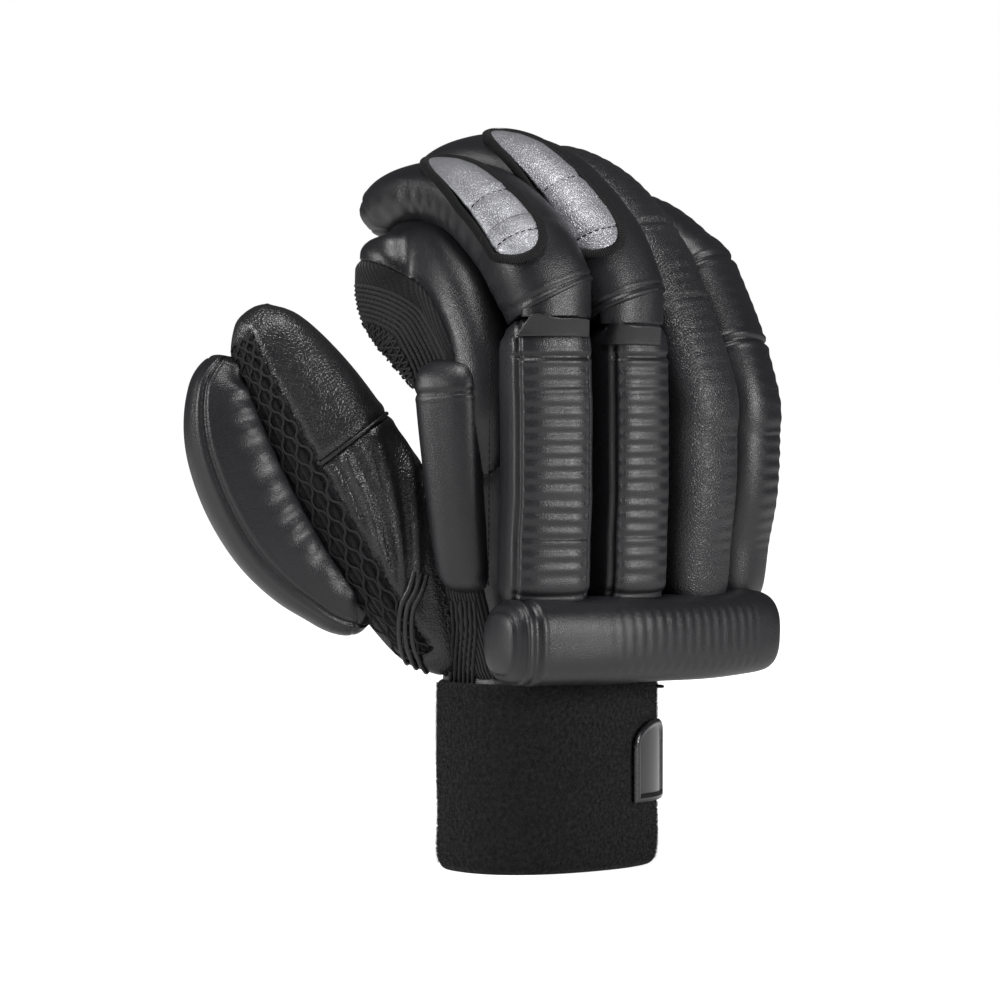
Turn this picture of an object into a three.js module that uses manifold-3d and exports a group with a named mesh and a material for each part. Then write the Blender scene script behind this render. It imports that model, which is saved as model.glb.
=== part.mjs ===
// A padded batting glove for the right hand, standing on its cuff with the fingers curled over.
// Lengths are millimetres. +Z runs up the fingers, -Y is the back of the hand and -X the thumb side.
import * as THREE from "three";
import { mergeVertices } from "three/addons/utils/BufferGeometryUtils.js";
import Module from "manifold-3d";

const wasm = await Module();
wasm.setup();

// Driving sizes
const FIT = 0.3; // clearance between any two pieces
const LEATHER = 2; // wall of the hand pocket, the stalls and the thumb
const CUFF = { width: 80, depth: 58, height: 63, wall: 3.5, tuck: 7, square: 2.3 };
const HAND = { width: 116, depth: 53, knuckles: 173, square: 3, toLittle: 8, toBack: 6.5 };
const STALL_ROOT = 148; // height at which the finger stalls leave the palm pocket
const BACK_SEAM = 4; // how far behind the middle of the hand the back panel meets the palm
const BAR = { foot: 90, top: 180, flatFrom: 112, flatTo: 160, thick: 20, sink: 2 };
const FINGER_PAD = { foot: 183, wide: 33, thick: 20, sink: 3.5 };
const PAD_SHIFT = { index: 15, middle: 8 }; // how far each pad's foot lies towards the little finger

const FINGERS = {
  index: { x: -38, y: -8, heading: 12, roll: 18, reach: 51, rise: 54, wide: 27, deep: 43 },
  middle: { x: -6, y: -8, heading: 4, roll: 5, reach: 53, rise: 64.5, wide: 25, deep: 43 },
  ring: { x: 26, y: -8, heading: -5, roll: -8, reach: 51, rise: 61, wide: 25, deep: 43 },
  little: { x: 54, y: -6, heading: -12, roll: -22, reach: 44, rise: 48, wide: 23, deep: 38 },
};

// Where each finger's bar crosses the back of the hand, and how wide it is
const BARS = {
  index: { x: -30, wide: 32 },
  middle: { x: 1, wide: 28 },
  ring: { x: 31, wide: 28 },
  little: { x: 57, wide: 27 },
};

const THUMB = { x: -40, y: 13, z: 82, heading: -52, reach: 59, rise: 102, wide: 34, deep: 43 };
const THUMB_PAD = { wide: 34, thick: 32, sink: 6, from: 0.24, to: 0.81 };
const THUMB_CAP = { x: -46, y: 14, z: 159, slope: 37 }; // a point of its welt seam and the seam's slope
const THUMB_MESH = { at: -0.32, wide: 0.32 }; // middle and width of the strip, as shares of the thumb's depth
const WEB = { x: -6, wide: 24, deep: 26, reach: 43, rise: 52, edge: 1.7 };
const WRIST_GUSSET = { left: -60, right: -30, front: -17, back: 9, foot: CUFF.height + 1.5, top: 99 };
const WRIST_SEAM = 106; // height of the seam between the hand and the wrist
const STRIP_SEAM = -44; // how far left the seam between the back and its side strip runs
const ROLL = { left: -51, right: 63, middle: 78, high: 28.5, thick: 26, y: -41, bow: 5 };
const SIDE_BAR = { x: -48, y: -9, turn: 64, foot: 99, top: 164, wide: 22, thick: 17, sink: 3, lean: 8 };
const PATCH = { from: 0.16, to: 0.54, wide: 13, thick: 0.9, binding: 2.2, toMiddle: -8.5 };
const BADGE = {
  turn: 48,
  up: CUFF.height - 28.5,
  wide: 24,
  high: 25,
  arch: 8.4,
  shoulder: 6,
  thick: 1.6,
  rim: 2,
  relief: 1,
};
const LOOP = { turn: 52, z: CUFF.height - 3, wide: 6, deep: 3.6, thick: 1.3, wall: 1.1 };
const PAD_END = 0.89; // where a finger's pad ends, as a share of its ridge line
const PATCH_REACH = { lift: 14, deep: 22 }; // the cutting form that gives a patch its outline
const STRIP_WIDTH = 1.4; // width of a strip's cutting form as a share of the thumb's

// Sections along each piece and corners round each section
const STEPS = {
  finger: 8,
  ridge: 14,
  thumb: 8,
  thumbPad: 9,
  bar: 9,
  fingerPad: 9,
  longPad: 12,
  patch: 5,
  roll: 12,
  side: 8,
};
const SHAPES = {
  hand: { sides: 24 },
  stall: { sides: 10, square: 2.4 },
  bar: { sides: 12, square: 3, taper: 0.14 },
  pad: { sides: 12, square: 2.5 },
  roll: { sides: 14, square: 2.8 },
  patch: { sides: 8, square: 4 },
  strip: { sides: 8, square: 5 },
};

// How the hand pocket grows from the cuff's neck to its full size, by share of its height
const HAND_ROWS = [
  { up: 0.0, grow: 0.0 },
  { up: 0.08, grow: 0.0 },
  { up: 0.2, grow: 0.35 },
  { up: 0.4, grow: 0.8 },
  { up: 0.6, grow: 1.0 },
  { up: 0.86, grow: 1.0 },
  { up: 0.96, grow: 0.9 },
  { up: 1.0, grow: 0.68 },
];

// Every finger's curl: forward and up as shares of reach and rise, sections as shares of width and depth
const CURL_ROWS = [
  { fore: 0.0, up: 0.0, wide: 0.96, deep: 0.96 },
  { fore: 0.05, up: 0.33, wide: 1.0, deep: 1.0 },
  { fore: 0.22, up: 0.66, wide: 1.0, deep: 0.98 },
  { fore: 0.5, up: 0.92, wide: 0.96, deep: 0.88 },
  { fore: 0.78, up: 0.98, wide: 0.94, deep: 0.8 },
  { fore: 0.95, up: 0.93, wide: 0.88, deep: 0.72 },
  { fore: 1.04, up: 0.9, wide: 0.64, deep: 0.48 },
];

// The knitted web between index finger and thumb: forward and up as shares of its reach and rise
const WEB_ROWS = [
  { fore: 0.1, up: 0.08, size: 0.4 },
  { fore: 0.3, up: 0.34, size: 0.74 },
  { fore: 0.56, up: 0.6, size: 1 },
  { fore: 0.8, up: 0.8, size: 1 },
  { fore: 0.87, up: 1.02, size: 0.9 },
  { fore: 0.9, up: 1.15, size: 0.7 },
];

// The thumb's line: out and up as shares of reach and rise, sections as shares of width and depth
const THUMB_ROWS = [
  { out: -0.16, up: -0.1, wide: 0.5, deep: 0.42 },
  { out: 0.0, up: 0.0, wide: 0.8, deep: 0.74 },
  { out: 0.25, up: 0.28, wide: 1.0, deep: 1.0 },
  { out: 0.52, up: 0.55, wide: 1.0, deep: 1.0 },
  { out: 0.76, up: 0.78, wide: 0.92, deep: 0.86 },
  { out: 0.93, up: 0.94, wide: 0.72, deep: 0.62 },
  { out: 1.0, up: 1.0, wide: 0.42, deep: 0.36 },
];

// Pads, by share of their length: width, thickness and sink as shares of the pad's own
const BAR_ROWS = [
  { at: 0.0, wide: 0.84, thick: 0.6, sink: 0.6 },
  { at: 0.05, wide: 0.97, thick: 0.9, sink: 1 },
  { at: 0.14, wide: 1, thick: 1, sink: 1 },
  { at: 0.5, wide: 1, thick: 1, sink: 1 },
  { at: 0.88, wide: 1, thick: 1, sink: 1 },
  { at: 0.96, wide: 0.97, thick: 0.92, sink: 1 },
  { at: 1.0, wide: 0.84, thick: 0.66, sink: 0.6 },
];
const FINGER_PAD_ROWS = [
  { at: 0.0, wide: 0.92, thick: 1.36, sink: 0.6, shift: 1 },
  { at: 0.07, wide: 0.96, thick: 1.42, sink: 0.6, shift: 0.96 },
  { at: 0.3, wide: 0.98, thick: 1.25, sink: 0.8, shift: 0.64 },
  { at: 0.6, wide: 1, thick: 1.05, sink: 1, shift: 0.16 },
  { at: 0.85, wide: 0.92, thick: 0.95, sink: 1, shift: 0 },
  { at: 1.0, wide: 0.6, thick: 0.8, sink: 1.2, shift: 0 },
];
const LONG_PAD_ROWS = [
  { at: 0.0, wide: 0.8, thick: 0.6, sink: 0.6 },
  { at: 0.03, wide: 0.97, thick: 0.9, sink: 1 },
  { at: 0.2, wide: 1, thick: 1, sink: 1 },
  { at: 0.45, wide: 1, thick: 1, sink: 1 },
  { at: 0.7, wide: 1.04, thick: 1, sink: 1 },
  { at: 0.88, wide: 0.95, thick: 0.95, sink: 1.3 },
  { at: 1.0, wide: 0.6, thick: 0.8, sink: 1.6 },
];
const THUMB_PAD_ROWS = [
  { at: 0.0, wide: 0.5, thick: 0.4 },
  { at: 0.08, wide: 0.8, thick: 0.66 },
  { at: 0.35, wide: 1, thick: 1 },
  { at: 0.65, wide: 1, thick: 0.98 },
  { at: 0.9, wide: 0.86, thick: 0.74 },
  { at: 1.0, wide: 0.6, thick: 0.46 },
];
const ROLL_ROWS = [
  { at: 0.0, size: 0.7, bow: 1 },
  { at: 0.03, size: 0.92, bow: 0.9 },
  { at: 0.12, size: 1, bow: 0.6 },
  { at: 0.5, size: 1, bow: 0 },
  { at: 0.88, size: 1, bow: 0.6 },
  { at: 0.97, size: 0.92, bow: 0.9 },
  { at: 1.0, size: 0.7, bow: 1 },
];
const SIDE_BAR_ROWS = [
  { at: 0.0, wide: 0.7, thick: 0.6 },
  { at: 0.06, wide: 0.84, thick: 0.9 },
  { at: 0.5, wide: 0.94, thick: 1 },
  { at: 0.94, wide: 1, thick: 0.92 },
  { at: 1.0, wide: 0.86, thick: 0.66 },
];
const PATCH_ROWS = [
  { at: 0.0, wide: 0.6 },
  { at: 0.07, wide: 0.9 },
  { at: 0.2, wide: 1 },
  { at: 0.5, wide: 0.96 },
  { at: 0.85, wide: 0.84 },
  { at: 1.0, wide: 0.5 },
];

const degrees = THREE.MathUtils.degToRad;
const vector = (x, y, z) => new THREE.Vector3(x, y, z);

// Solids

function solidOf(geometry) {
  const bare = new THREE.BufferGeometry();
  bare.setAttribute("position", geometry.getAttribute("position"));
  if (geometry.index) bare.setIndex(geometry.index);
  const merged = mergeVertices(bare, 1e-4);
  return new wasm.Manifold(
    new wasm.Mesh({
      numProp: 3,
      vertProperties: new Float32Array(merged.attributes.position.array),
      triVerts: new Uint32Array(merged.index.array),
    }),
  );
}

function geometryOf(solid) {
  const mesh = solid.getMesh();
  const positions = new Float32Array(mesh.numVert * 3);
  for (let i = 0; i < mesh.numVert; i += 1) {
    positions.set(mesh.vertProperties.subarray(i * mesh.numProp, i * mesh.numProp + 3), i * 3);
  }
  return new THREE.BufferGeometry()
    .setAttribute("position", new THREE.BufferAttribute(positions, 3))
    .setIndex(new THREE.BufferAttribute(mesh.triVerts, 1));
}

const joined = (solids) => solids.reduce((sum, next) => sum.add(next));

// The largest body of a cut, without the crumbs that a cut can leave
function mainBody(solid) {
  return solid.decompose().sort((a, b) => b.volume() - a.volume())[0];
}

function boxSolid(low, high) {
  const size = high.clone().sub(low);
  const middle = low.clone().add(high).multiplyScalar(0.5);
  const geometry = new THREE.BoxGeometry(size.x, size.y, size.z);
  return solidOf(geometry.translate(middle.x, middle.y, middle.z));
}

// Rows of named numbers, interpolated smoothly into count + 1 rows
function smoothRows(rows, count) {
  const keys = Object.keys(rows[0]);
  const at = (i) => rows[Math.min(rows.length - 1, Math.max(0, i))];
  return Array.from({ length: count + 1 }, (_, step) => {
    const place = (step / count) * (rows.length - 1);
    const i = Math.min(rows.length - 2, Math.floor(place));
    const t = place - i;
    const row = {};
    for (const key of keys) {
      const [a, b, c, d] = [at(i - 1)[key], at(i)[key], at(i + 1)[key], at(i + 2)[key]];
      const bend = (2 * a - 5 * b + 4 * c - d) * t + (3 * b - a - 3 * c + d) * t * t;
      row[key] = b + 0.5 * t * (c - a + bend);
    }
    return row;
  });
}

// Sections: each has a centre, a side direction and its size. Framing squares them to their line.
function framed(sections) {
  return sections.map((section, i) => {
    const before = sections[Math.max(0, i - 1)].centre;
    const after = sections[Math.min(sections.length - 1, i + 1)].centre;
    const along = after.clone().sub(before).normalize();
    const across = section.side.clone().addScaledVector(along, -section.side.dot(along)).normalize();
    const out = across.clone().cross(along).normalize();
    return { ...section, along, across, out };
  });
}

// Sections that stay level however their centres move
function level(sections) {
  const along = vector(0, 0, 1);
  return sections.map((s) => ({ ...s, along, across: s.side, out: s.side.clone().cross(along) }));
}

// A closed solid through framed sections; square is the power of the superellipse.
function loft(sections, { sides = 16, square = 2.4, taper = 0, grow = 0 } = {}) {
  const points = [];
  const faces = [];
  const last = sections.length - 1;
  for (const s of sections) {
    for (let k = 0; k < sides; k += 1) {
      const angle = ((k + 0.5) / sides) * 2 * Math.PI;
      const [c, d] = [Math.cos(angle), Math.sin(angle)];
      const power = 2 / (s.square ?? square);
      const up = Math.sign(d) * Math.abs(d) ** power;
      const over = Math.sign(c) * Math.abs(c) ** power * (1 - (taper * (up + 1)) / 2);
      points.push(
        s.centre
          .clone()
          .addScaledVector(s.across, over * (s.wide / 2 + grow))
          .addScaledVector(s.out, up * (s.deep / 2 + grow)),
      );
    }
  }
  const first = points.push(sections[0].centre.clone().addScaledVector(sections[0].along, -grow)) - 1;
  const end = points.push(sections[last].centre.clone().addScaledVector(sections[last].along, grow)) - 1;
  for (let k = 0; k < sides; k += 1) {
    const next = (k + 1) % sides;
    faces.push(first, next, k);
    faces.push(end, last * sides + k, last * sides + next);
    for (let i = 0; i < last; i += 1) {
      const [a, b] = [i * sides + k, i * sides + next];
      faces.push(a, b, b + sides, a, b + sides, a + sides);
    }
  }
  const geometry = new THREE.BufferGeometry().setFromPoints(points).setIndex(faces);
  const made = solidOf(geometry);
  return made.volume() < 0 ? solidOf(geometry.setIndex(faces.slice().reverse())) : made;
}

// Hand pocket

const NECK = {
  width: CUFF.width - 2 * (CUFF.wall + FIT),
  depth: CUFF.depth - 2 * (CUFF.wall + FIT),
  foot: CUFF.height - CUFF.tuck,
};

function handSection(up, grow) {
  return {
    centre: vector(HAND.toLittle * grow, -HAND.toBack * grow, NECK.foot + (HAND.knuckles - NECK.foot) * up),
    side: vector(1, 0, 0),
    wide: NECK.width + (HAND.width - NECK.width) * grow,
    deep: NECK.depth + (HAND.depth - NECK.depth) * grow,
    square: CUFF.square + (HAND.square - CUFF.square) * grow,
  };
}

const handSections = level(HAND_ROWS.map((row) => handSection(row.up, row.grow)));

// A point on the back of the hand, from its place across and its height
function onBack(x, height) {
  const above = handSections.findIndex((s) => s.centre.z >= height);
  const i = above < 0 ? handSections.length - 1 : Math.max(1, above);
  const [a, b] = [handSections[i - 1], handSections[i]];
  const t = THREE.MathUtils.clamp((height - a.centre.z) / (b.centre.z - a.centre.z), 0, 1);
  const mix = (from, to) => from + (to - from) * t;
  const square = mix(a.square, b.square);
  const share = Math.min(0.98, Math.abs(x - mix(a.centre.x, b.centre.x)) / (mix(a.wide, b.wide) / 2));
  const reach = (mix(a.deep, b.deep) / 2) * (1 - share ** square) ** (1 / square);
  return vector(x, mix(a.centre.y, b.centre.y) - reach, height);
}

// Fingers and thumb

const headingOf = (turn) => vector(Math.sin(degrees(turn)), Math.cos(degrees(turn)), 0);
const sideOf = (turn) => vector(Math.cos(degrees(turn)), -Math.sin(degrees(turn)), 0);

function fingerSections(finger, count) {
  return framed(
    smoothRows(CURL_ROWS, count).map((row) => ({
      centre: vector(finger.x, finger.y, STALL_ROOT + row.up * finger.rise).addScaledVector(
        headingOf(finger.heading),
        row.fore * finger.reach,
      ),
      side: sideOf(finger.heading + (finger.roll - finger.heading) * (1 - row.fore)),
      wide: row.wide * finger.wide,
      deep: row.deep * finger.deep,
    })),
  );
}

function thumbSections(count) {
  return framed(
    smoothRows(THUMB_ROWS, count).map((row) => ({
      centre: vector(THUMB.x, THUMB.y, THUMB.z + row.up * THUMB.rise).addScaledVector(
        headingOf(THUMB.heading),
        row.out * THUMB.reach,
      ),
      side: sideOf(THUMB.heading),
      wide: row.wide * THUMB.wide,
      deep: row.deep * THUMB.deep,
    })),
  );
}

function webSections(size) {
  const { x, y } = FINGERS.index;
  return framed(
    WEB_ROWS.map((row) => ({
      centre: vector(x + WEB.x, y + row.fore * WEB.reach, STALL_ROOT + row.up * WEB.rise),
      side: vector(1, 0, 0),
      wide: row.size * WEB.wide * size,
      deep: row.size * WEB.deep * size,
    })),
  );
}

// Sections less the wall on every side
function hollowed(sections) {
  const last = sections.length - 1;
  return sections.map((s, i) => ({
    ...s,
    centre: i === last ? s.centre.clone().addScaledVector(s.along, -LEATHER) : s.centre,
    wide: s.wide - 2 * LEATHER,
    deep: s.deep - 2 * LEATHER,
  }));
}

// Sections of a strip that lies on one side of a line, at and wide being shares of its depth
function strip(sections, at, wide) {
  return sections.map((s) => ({
    ...s,
    centre: s.centre.clone().addScaledVector(s.out, at * s.deep),
    wide: s.wide * STRIP_WIDTH,
    deep: s.deep * wide,
  }));
}

const fingerLines = Object.fromEntries(
  Object.entries(FINGERS).map(([name, finger]) => [name, fingerSections(finger, STEPS.finger)]),
);
const thumbLine = thumbSections(STEPS.thumb);
const webLine = webSections(1);

const forms = (grow) => ({
  hand: loft(handSections, { ...SHAPES.hand, grow }),
  thumb: loft(thumbLine, { ...SHAPES.stall, grow }),
  web: loft(webLine, { ...SHAPES.stall, grow }),
  ...Object.fromEntries(
    Object.entries(fingerLines).map(([name, line]) => [name, loft(line, { ...SHAPES.stall, grow })]),
  ),
});
const outer = forms(0);
const clear = forms(FIT);
const handClear = joined(Object.values(clear));

// A level tube section round the middle of the cuff
const tube = (width, depth, low, high, square = CUFF.square) =>
  loft(
    level(
      [low, high].map((height) => ({
        centre: vector(0, 0, height),
        side: vector(1, 0, 0),
        wide: width,
        deep: depth,
        square,
      })),
    ),
    SHAPES.hand,
  );

const pocket = joined([
  loft(hollowed(handSections), SHAPES.hand),
  loft(hollowed(thumbLine), SHAPES.stall),
  loft(hollowed(webLine), SHAPES.stall),
  ...Object.values(fingerLines).map((line) => loft(hollowed(line), SHAPES.stall)),
  tube(NECK.width - 2 * LEATHER, NECK.depth - 2 * LEATHER, NECK.foot - LEATHER, NECK.foot + LEATHER),
]);

// Pads that follow a finger

function ridge(name) {
  const finger = FINGERS[name];
  const bar = BARS[name];
  const side = sideOf(finger.roll);
  const out = side.clone().cross(vector(0, 0, 1));
  const onHand = [0, 0.2, 0.4, 0.6, 0.78].map((share) => {
    const height = BAR.foot + (BAR.top - BAR.foot) * share;
    return { point: onBack(bar.x, Math.max(BAR.flatFrom, height)).setZ(height), side, out };
  });
  const onStall = fingerSections(finger, STEPS.ridge)
    .filter((s) => s.centre.z > HAND.knuckles + 2 * LEATHER)
    .map((s) => ({ point: s.centre.clone().addScaledVector(s.out, s.deep / 2), side: s.across, out: s.out }));
  return [...onHand, ...onStall];
}

function shareAtHeight(curve, height) {
  const steps = 400;
  for (let i = 0; i <= steps; i += 1) if (curve.getPoint(i / steps).z >= height) return i / steps;
  return 1;
}

// Sections along a finger's ridge, from a height to the fingertip
function ridgeSections(name, low, rows, count, size, shift = 0) {
  const line = ridge(name);
  const [points, sides, outs] = ["point", "side", "out"].map(
    (key) => new THREE.CatmullRomCurve3(line.map((place) => place[key])),
  );
  const start = shareAtHeight(points, low);
  return framed(
    smoothRows(rows, count).map((row) => {
      const t = start + (PAD_END - start) * row.at;
      const thick = row.thick * size.thick;
      return {
        centre: points
          .getPoint(t)
          .addScaledVector(outs.getPoint(t).normalize(), thick / 2 - size.sink * row.sink)
          .addScaledVector(sides.getPoint(t).normalize(), shift * (row.shift ?? 0)),
        side: sides.getPoint(t),
        wide: row.wide * size.wide,
        deep: thick,
      };
    }),
  );
}

// Sections of a straight bar up the back of the hand
function barSections(name, count) {
  const bar = BARS[name];
  const side = sideOf(FINGERS[name].roll);
  const out = side.clone().cross(vector(0, 0, 1));
  return framed(
    smoothRows(BAR_ROWS, count).map((row) => {
      const thick = row.thick * BAR.thick;
      const height = BAR.foot + (BAR.top - BAR.foot) * row.at;
      const surface = onBack(bar.x, Math.min(Math.max(height, BAR.flatFrom), BAR.flatTo));
      return {
        centre: surface.setZ(height).addScaledVector(out, thick / 2 - BAR.sink * row.sink),
        side,
        wide: row.wide * bar.wide,
        deep: thick,
      };
    }),
  );
}

// Wrist roll and cuff

const rollLine = framed(
  smoothRows(ROLL_ROWS, STEPS.roll).map((row) => ({
    centre: vector(ROLL.left + (ROLL.right - ROLL.left) * row.at, ROLL.y + ROLL.bow * row.bow, ROLL.middle),
    side: vector(0, 0, -1),
    wide: ROLL.high * row.size,
    deep: ROLL.thick * row.size,
  })),
);
const rollForm = (grow) => loft(rollLine, { ...SHAPES.roll, grow });

const cuff = tube(CUFF.width, CUFF.depth, 0, CUFF.height).subtract(
  tube(CUFF.width - 2 * CUFF.wall, CUFF.depth - 2 * CUFF.wall, -1, CUFF.height + 1),
);

// Panels of the hand pocket

const far = 200;
const backHalf = boxSolid(vector(STRIP_SEAM + FIT, -far, WRIST_SEAM + FIT), vector(far, BACK_SEAM, far));
const stripHalf = boxSolid(vector(-far, -far, WRIST_SEAM + FIT), vector(STRIP_SEAM, BACK_SEAM, far));
const palmHalf = boxSolid(vector(-far, BACK_SEAM + FIT, WRIST_SEAM + FIT), vector(far, far, far));
const wristBack = boxSolid(vector(-far, -far, 0), vector(far, BACK_SEAM, WRIST_SEAM));
const wristFront = boxSolid(vector(-far, BACK_SEAM + FIT, 0), vector(far, far, WRIST_SEAM));
const gussetBox = (grow) =>
  boxSolid(
    vector(WRIST_GUSSET.left, WRIST_GUSSET.front - grow, WRIST_GUSSET.foot - grow),
    vector(WRIST_GUSSET.right + grow, WRIST_GUSSET.back + grow, WRIST_GUSSET.top + grow),
  );
const handShell = outer.hand.subtract(pocket).subtract(gussetBox(FIT));
const thumbShell = outer.thumb.subtract(pocket).subtract(clear.hand);
const meshStrip = (grow) =>
  loft(strip(thumbLine, THUMB_MESH.at, THUMB_MESH.wide).slice(1, -1), { ...SHAPES.strip, grow });
const thumbFront = loft(
  thumbLine.map((s) => {
    const centre = s.centre.clone().addScaledVector(s.across, -s.wide);
    return { ...s, centre, wide: s.wide * 2 };
  }),
  SHAPES.strip,
);

const parts = {
  cuff,
  wrist_roll: rollForm(0).subtract(handClear),
  back_panel: handShell.intersect(backHalf),
  side_strip: handShell.intersect(stripHalf),
  wrist_panel: handShell.intersect(wristBack),
  palm_leather: handShell.intersect(palmHalf),
  palm_heel: handShell.intersect(wristFront),
  wrist_gusset: outer.hand.subtract(pocket).intersect(gussetBox(0)),
  thumb_mesh: thumbShell.intersect(meshStrip(0)).intersect(thumbFront),
};

// Everything above the welt seam that crosses the thumb's inner side
function aboveWelt(lift) {
  const geometry = new THREE.BoxGeometry(far, far, far).translate(0, 0, far / 2 + lift);
  const tilt = new THREE.Matrix4().makeRotationAxis(sideOf(THUMB.heading), -degrees(THUMB_CAP.slope));
  geometry.applyMatrix4(tilt);
  return solidOf(geometry.translate(THUMB_CAP.x, THUMB_CAP.y, THUMB_CAP.z));
}
const thumbSides = thumbShell.subtract(meshStrip(FIT).intersect(thumbFront));
parts.thumb_cap = thumbSides.intersect(aboveWelt(FIT));
parts.thumb_leather = thumbSides.subtract(aboveWelt(0));

// Finger stalls, each clear of the hand and of the stall before it

const taken = [clear.hand];
for (const name of Object.keys(FINGERS)) {
  let stall = outer[name].subtract(pocket);
  for (const solid of taken) stall = stall.subtract(solid);
  taken.push(clear[name]);
  parts[`${name}_stall`] = stall;
}
const webCut = (grow) => loft(webSections(WEB.edge), { ...SHAPES.stall, grow });
const webAndIndex = outer.index.add(outer.web).subtract(clear.hand).subtract(pocket);
parts.index_gusset = webAndIndex.intersect(webCut(0)).subtract(clear.middle).subtract(clear.thumb);
parts.index_stall = webAndIndex.subtract(webCut(FIT));

// Back bars and finger pads, each clear of the hand, the roll and the pads before it

const pads = {};
for (const name of ["index", "middle"]) {
  const [foot, shift] = [FINGER_PAD.foot, PAD_SHIFT[name]];
  const padRows = ridgeSections(name, foot, FINGER_PAD_ROWS, STEPS.fingerPad, FINGER_PAD, shift);
  pads[`${name}_back_bar`] = { line: barSections(name, STEPS.bar), shape: SHAPES.bar };
  pads[`${name}_finger_pad`] = { line: padRows, shape: SHAPES.pad };
}
for (const name of ["ring", "little"]) {
  const size = { ...BAR, wide: BARS[name].wide };
  const line = ridgeSections(name, BAR.foot, LONG_PAD_ROWS, STEPS.longPad, size);
  pads[`${name}_pad`] = { line, shape: SHAPES.pad };
}
const padClear = {};
const beforePads = handClear.add(rollForm(FIT));
for (const [name, { line, shape }] of Object.entries(pads)) {
  const others = Object.values(padClear);
  parts[name] = others.reduce((pad, other) => pad.subtract(other), loft(line, shape).subtract(beforePads));
  padClear[name] = loft(line, { ...shape, grow: FIT });
}

// Silver patches and their bindings on the index and middle finger pads

function patchForm(name, wider, grow) {
  const { line } = pads[`${name}_finger_pad`];
  const sections = smoothRows(PATCH_ROWS, STEPS.patch).map((row) => {
    const place = (PATCH.from + (PATCH.to - PATCH.from) * row.at) * (line.length - 1);
    const i = Math.min(line.length - 2, Math.floor(place));
    const [a, b] = [line[i], line[i + 1]];
    const t = place - i;
    const out = a.out.clone().lerp(b.out, t).normalize();
    const centre = a.centre.clone().lerp(b.centre, t).addScaledVector(out, PATCH_REACH.lift);
    return {
      centre: centre.addScaledVector(a.across, PATCH.toMiddle),
      side: a.across.clone().lerp(b.across, t),
      wide: row.wide * PATCH.wide + wider,
      deep: PATCH_REACH.deep,
    };
  });
  return loft(framed(sections), { ...SHAPES.patch, grow });
}

for (const name of ["index", "middle"]) {
  const own = `${name}_finger_pad`;
  const { line, shape } = pads[own];
  const others = joined(Object.keys(pads).filter((pad) => pad !== own).map((pad) => padClear[pad]));
  const skin = loft(line, { ...shape, grow: FIT + PATCH.thick }).subtract(padClear[own]).subtract(others);
  parts[`${name}_patch`] = skin.intersect(patchForm(name, 0, 0));
  parts[`${name}_binding`] = skin
    .intersect(patchForm(name, 2 * PATCH.binding, PATCH.binding))
    .subtract(patchForm(name, 2 * FIT, FIT));
}

// Side bar on the index side of the hand

const sideOut = sideOf(SIDE_BAR.turn).cross(vector(0, 0, 1));
const sideLine = smoothRows(SIDE_BAR_ROWS, STEPS.side).map((row) => {
  const thick = row.thick * SIDE_BAR.thick;
  const height = SIDE_BAR.foot + (SIDE_BAR.top - SIDE_BAR.foot) * row.at;
  const root = vector(SIDE_BAR.x + SIDE_BAR.lean * (1 - row.at), SIDE_BAR.y, height);
  return {
    centre: root.addScaledVector(sideOut, thick / 2 - SIDE_BAR.sink),
    side: sideOf(SIDE_BAR.turn),
    wide: row.wide * SIDE_BAR.wide,
    deep: thick,
  };
});
parts.side_bar = loft(framed(sideLine), SHAPES.pad)
  .subtract(beforePads)
  .subtract(joined(Object.values(padClear)));

// Thumb pad along the outer side of the thumb

const fineThumb = thumbSections(STEPS.thumb * 5);
const thumbPadLine = smoothRows(THUMB_PAD_ROWS, STEPS.thumbPad).map((row) => {
  const place = (THUMB_PAD.from + (THUMB_PAD.to - THUMB_PAD.from) * row.at) * (fineThumb.length - 1);
  const s = fineThumb[Math.round(place)];
  const thick = row.thick * THUMB_PAD.thick;
  return {
    centre: s.centre.clone().addScaledVector(s.out, THUMB_PAD.sink - (s.deep + thick) / 2),
    side: s.side,
    wide: row.wide * THUMB_PAD.wide,
    deep: thick,
  };
});
parts.thumb_pad = loft(framed(thumbPadLine), SHAPES.pad).subtract(handClear);

// Badge on the cuff: a plain arched plate with a raised rim

const badgeSide = sideOf(-BADGE.turn);
function badgeOutline(inset) {
  const half = BADGE.wide / 2 - inset;
  const spring = BADGE.high / 2 - BADGE.shoulder;
  const shape = new THREE.Shape();
  shape.moveTo(-half, inset - BADGE.high / 2);
  shape.lineTo(half, inset - BADGE.high / 2);
  shape.lineTo(half, spring);
  shape.absellipse(0, spring, half, BADGE.arch - inset, 0, Math.PI, false, 0);
  const geometry = new THREE.ExtrudeGeometry(shape, { depth: far, bevelEnabled: false, curveSegments: 8 });
  const up = vector(0, 0, 1);
  const basis = new THREE.Matrix4().makeBasis(badgeSide, up, badgeSide.clone().cross(up));
  return solidOf(geometry.applyMatrix4(basis.setPosition(0, 0, BADGE.up)));
}
const cuffSkin = (inside, outside) =>
  tube(CUFF.width + 2 * outside, CUFF.depth + 2 * outside, 1, CUFF.height - 1).subtract(
    tube(CUFF.width + 2 * inside, CUFF.depth + 2 * inside, 0, CUFF.height),
  );
const badgeFace = FIT + BADGE.thick;
parts.badge = cuffSkin(FIT, badgeFace)
  .intersect(badgeOutline(0))
  .subtract(cuffSkin(badgeFace - BADGE.relief, badgeFace + FIT).intersect(badgeOutline(BADGE.rim)));

// Small loop at the top edge of the cuff

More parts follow.
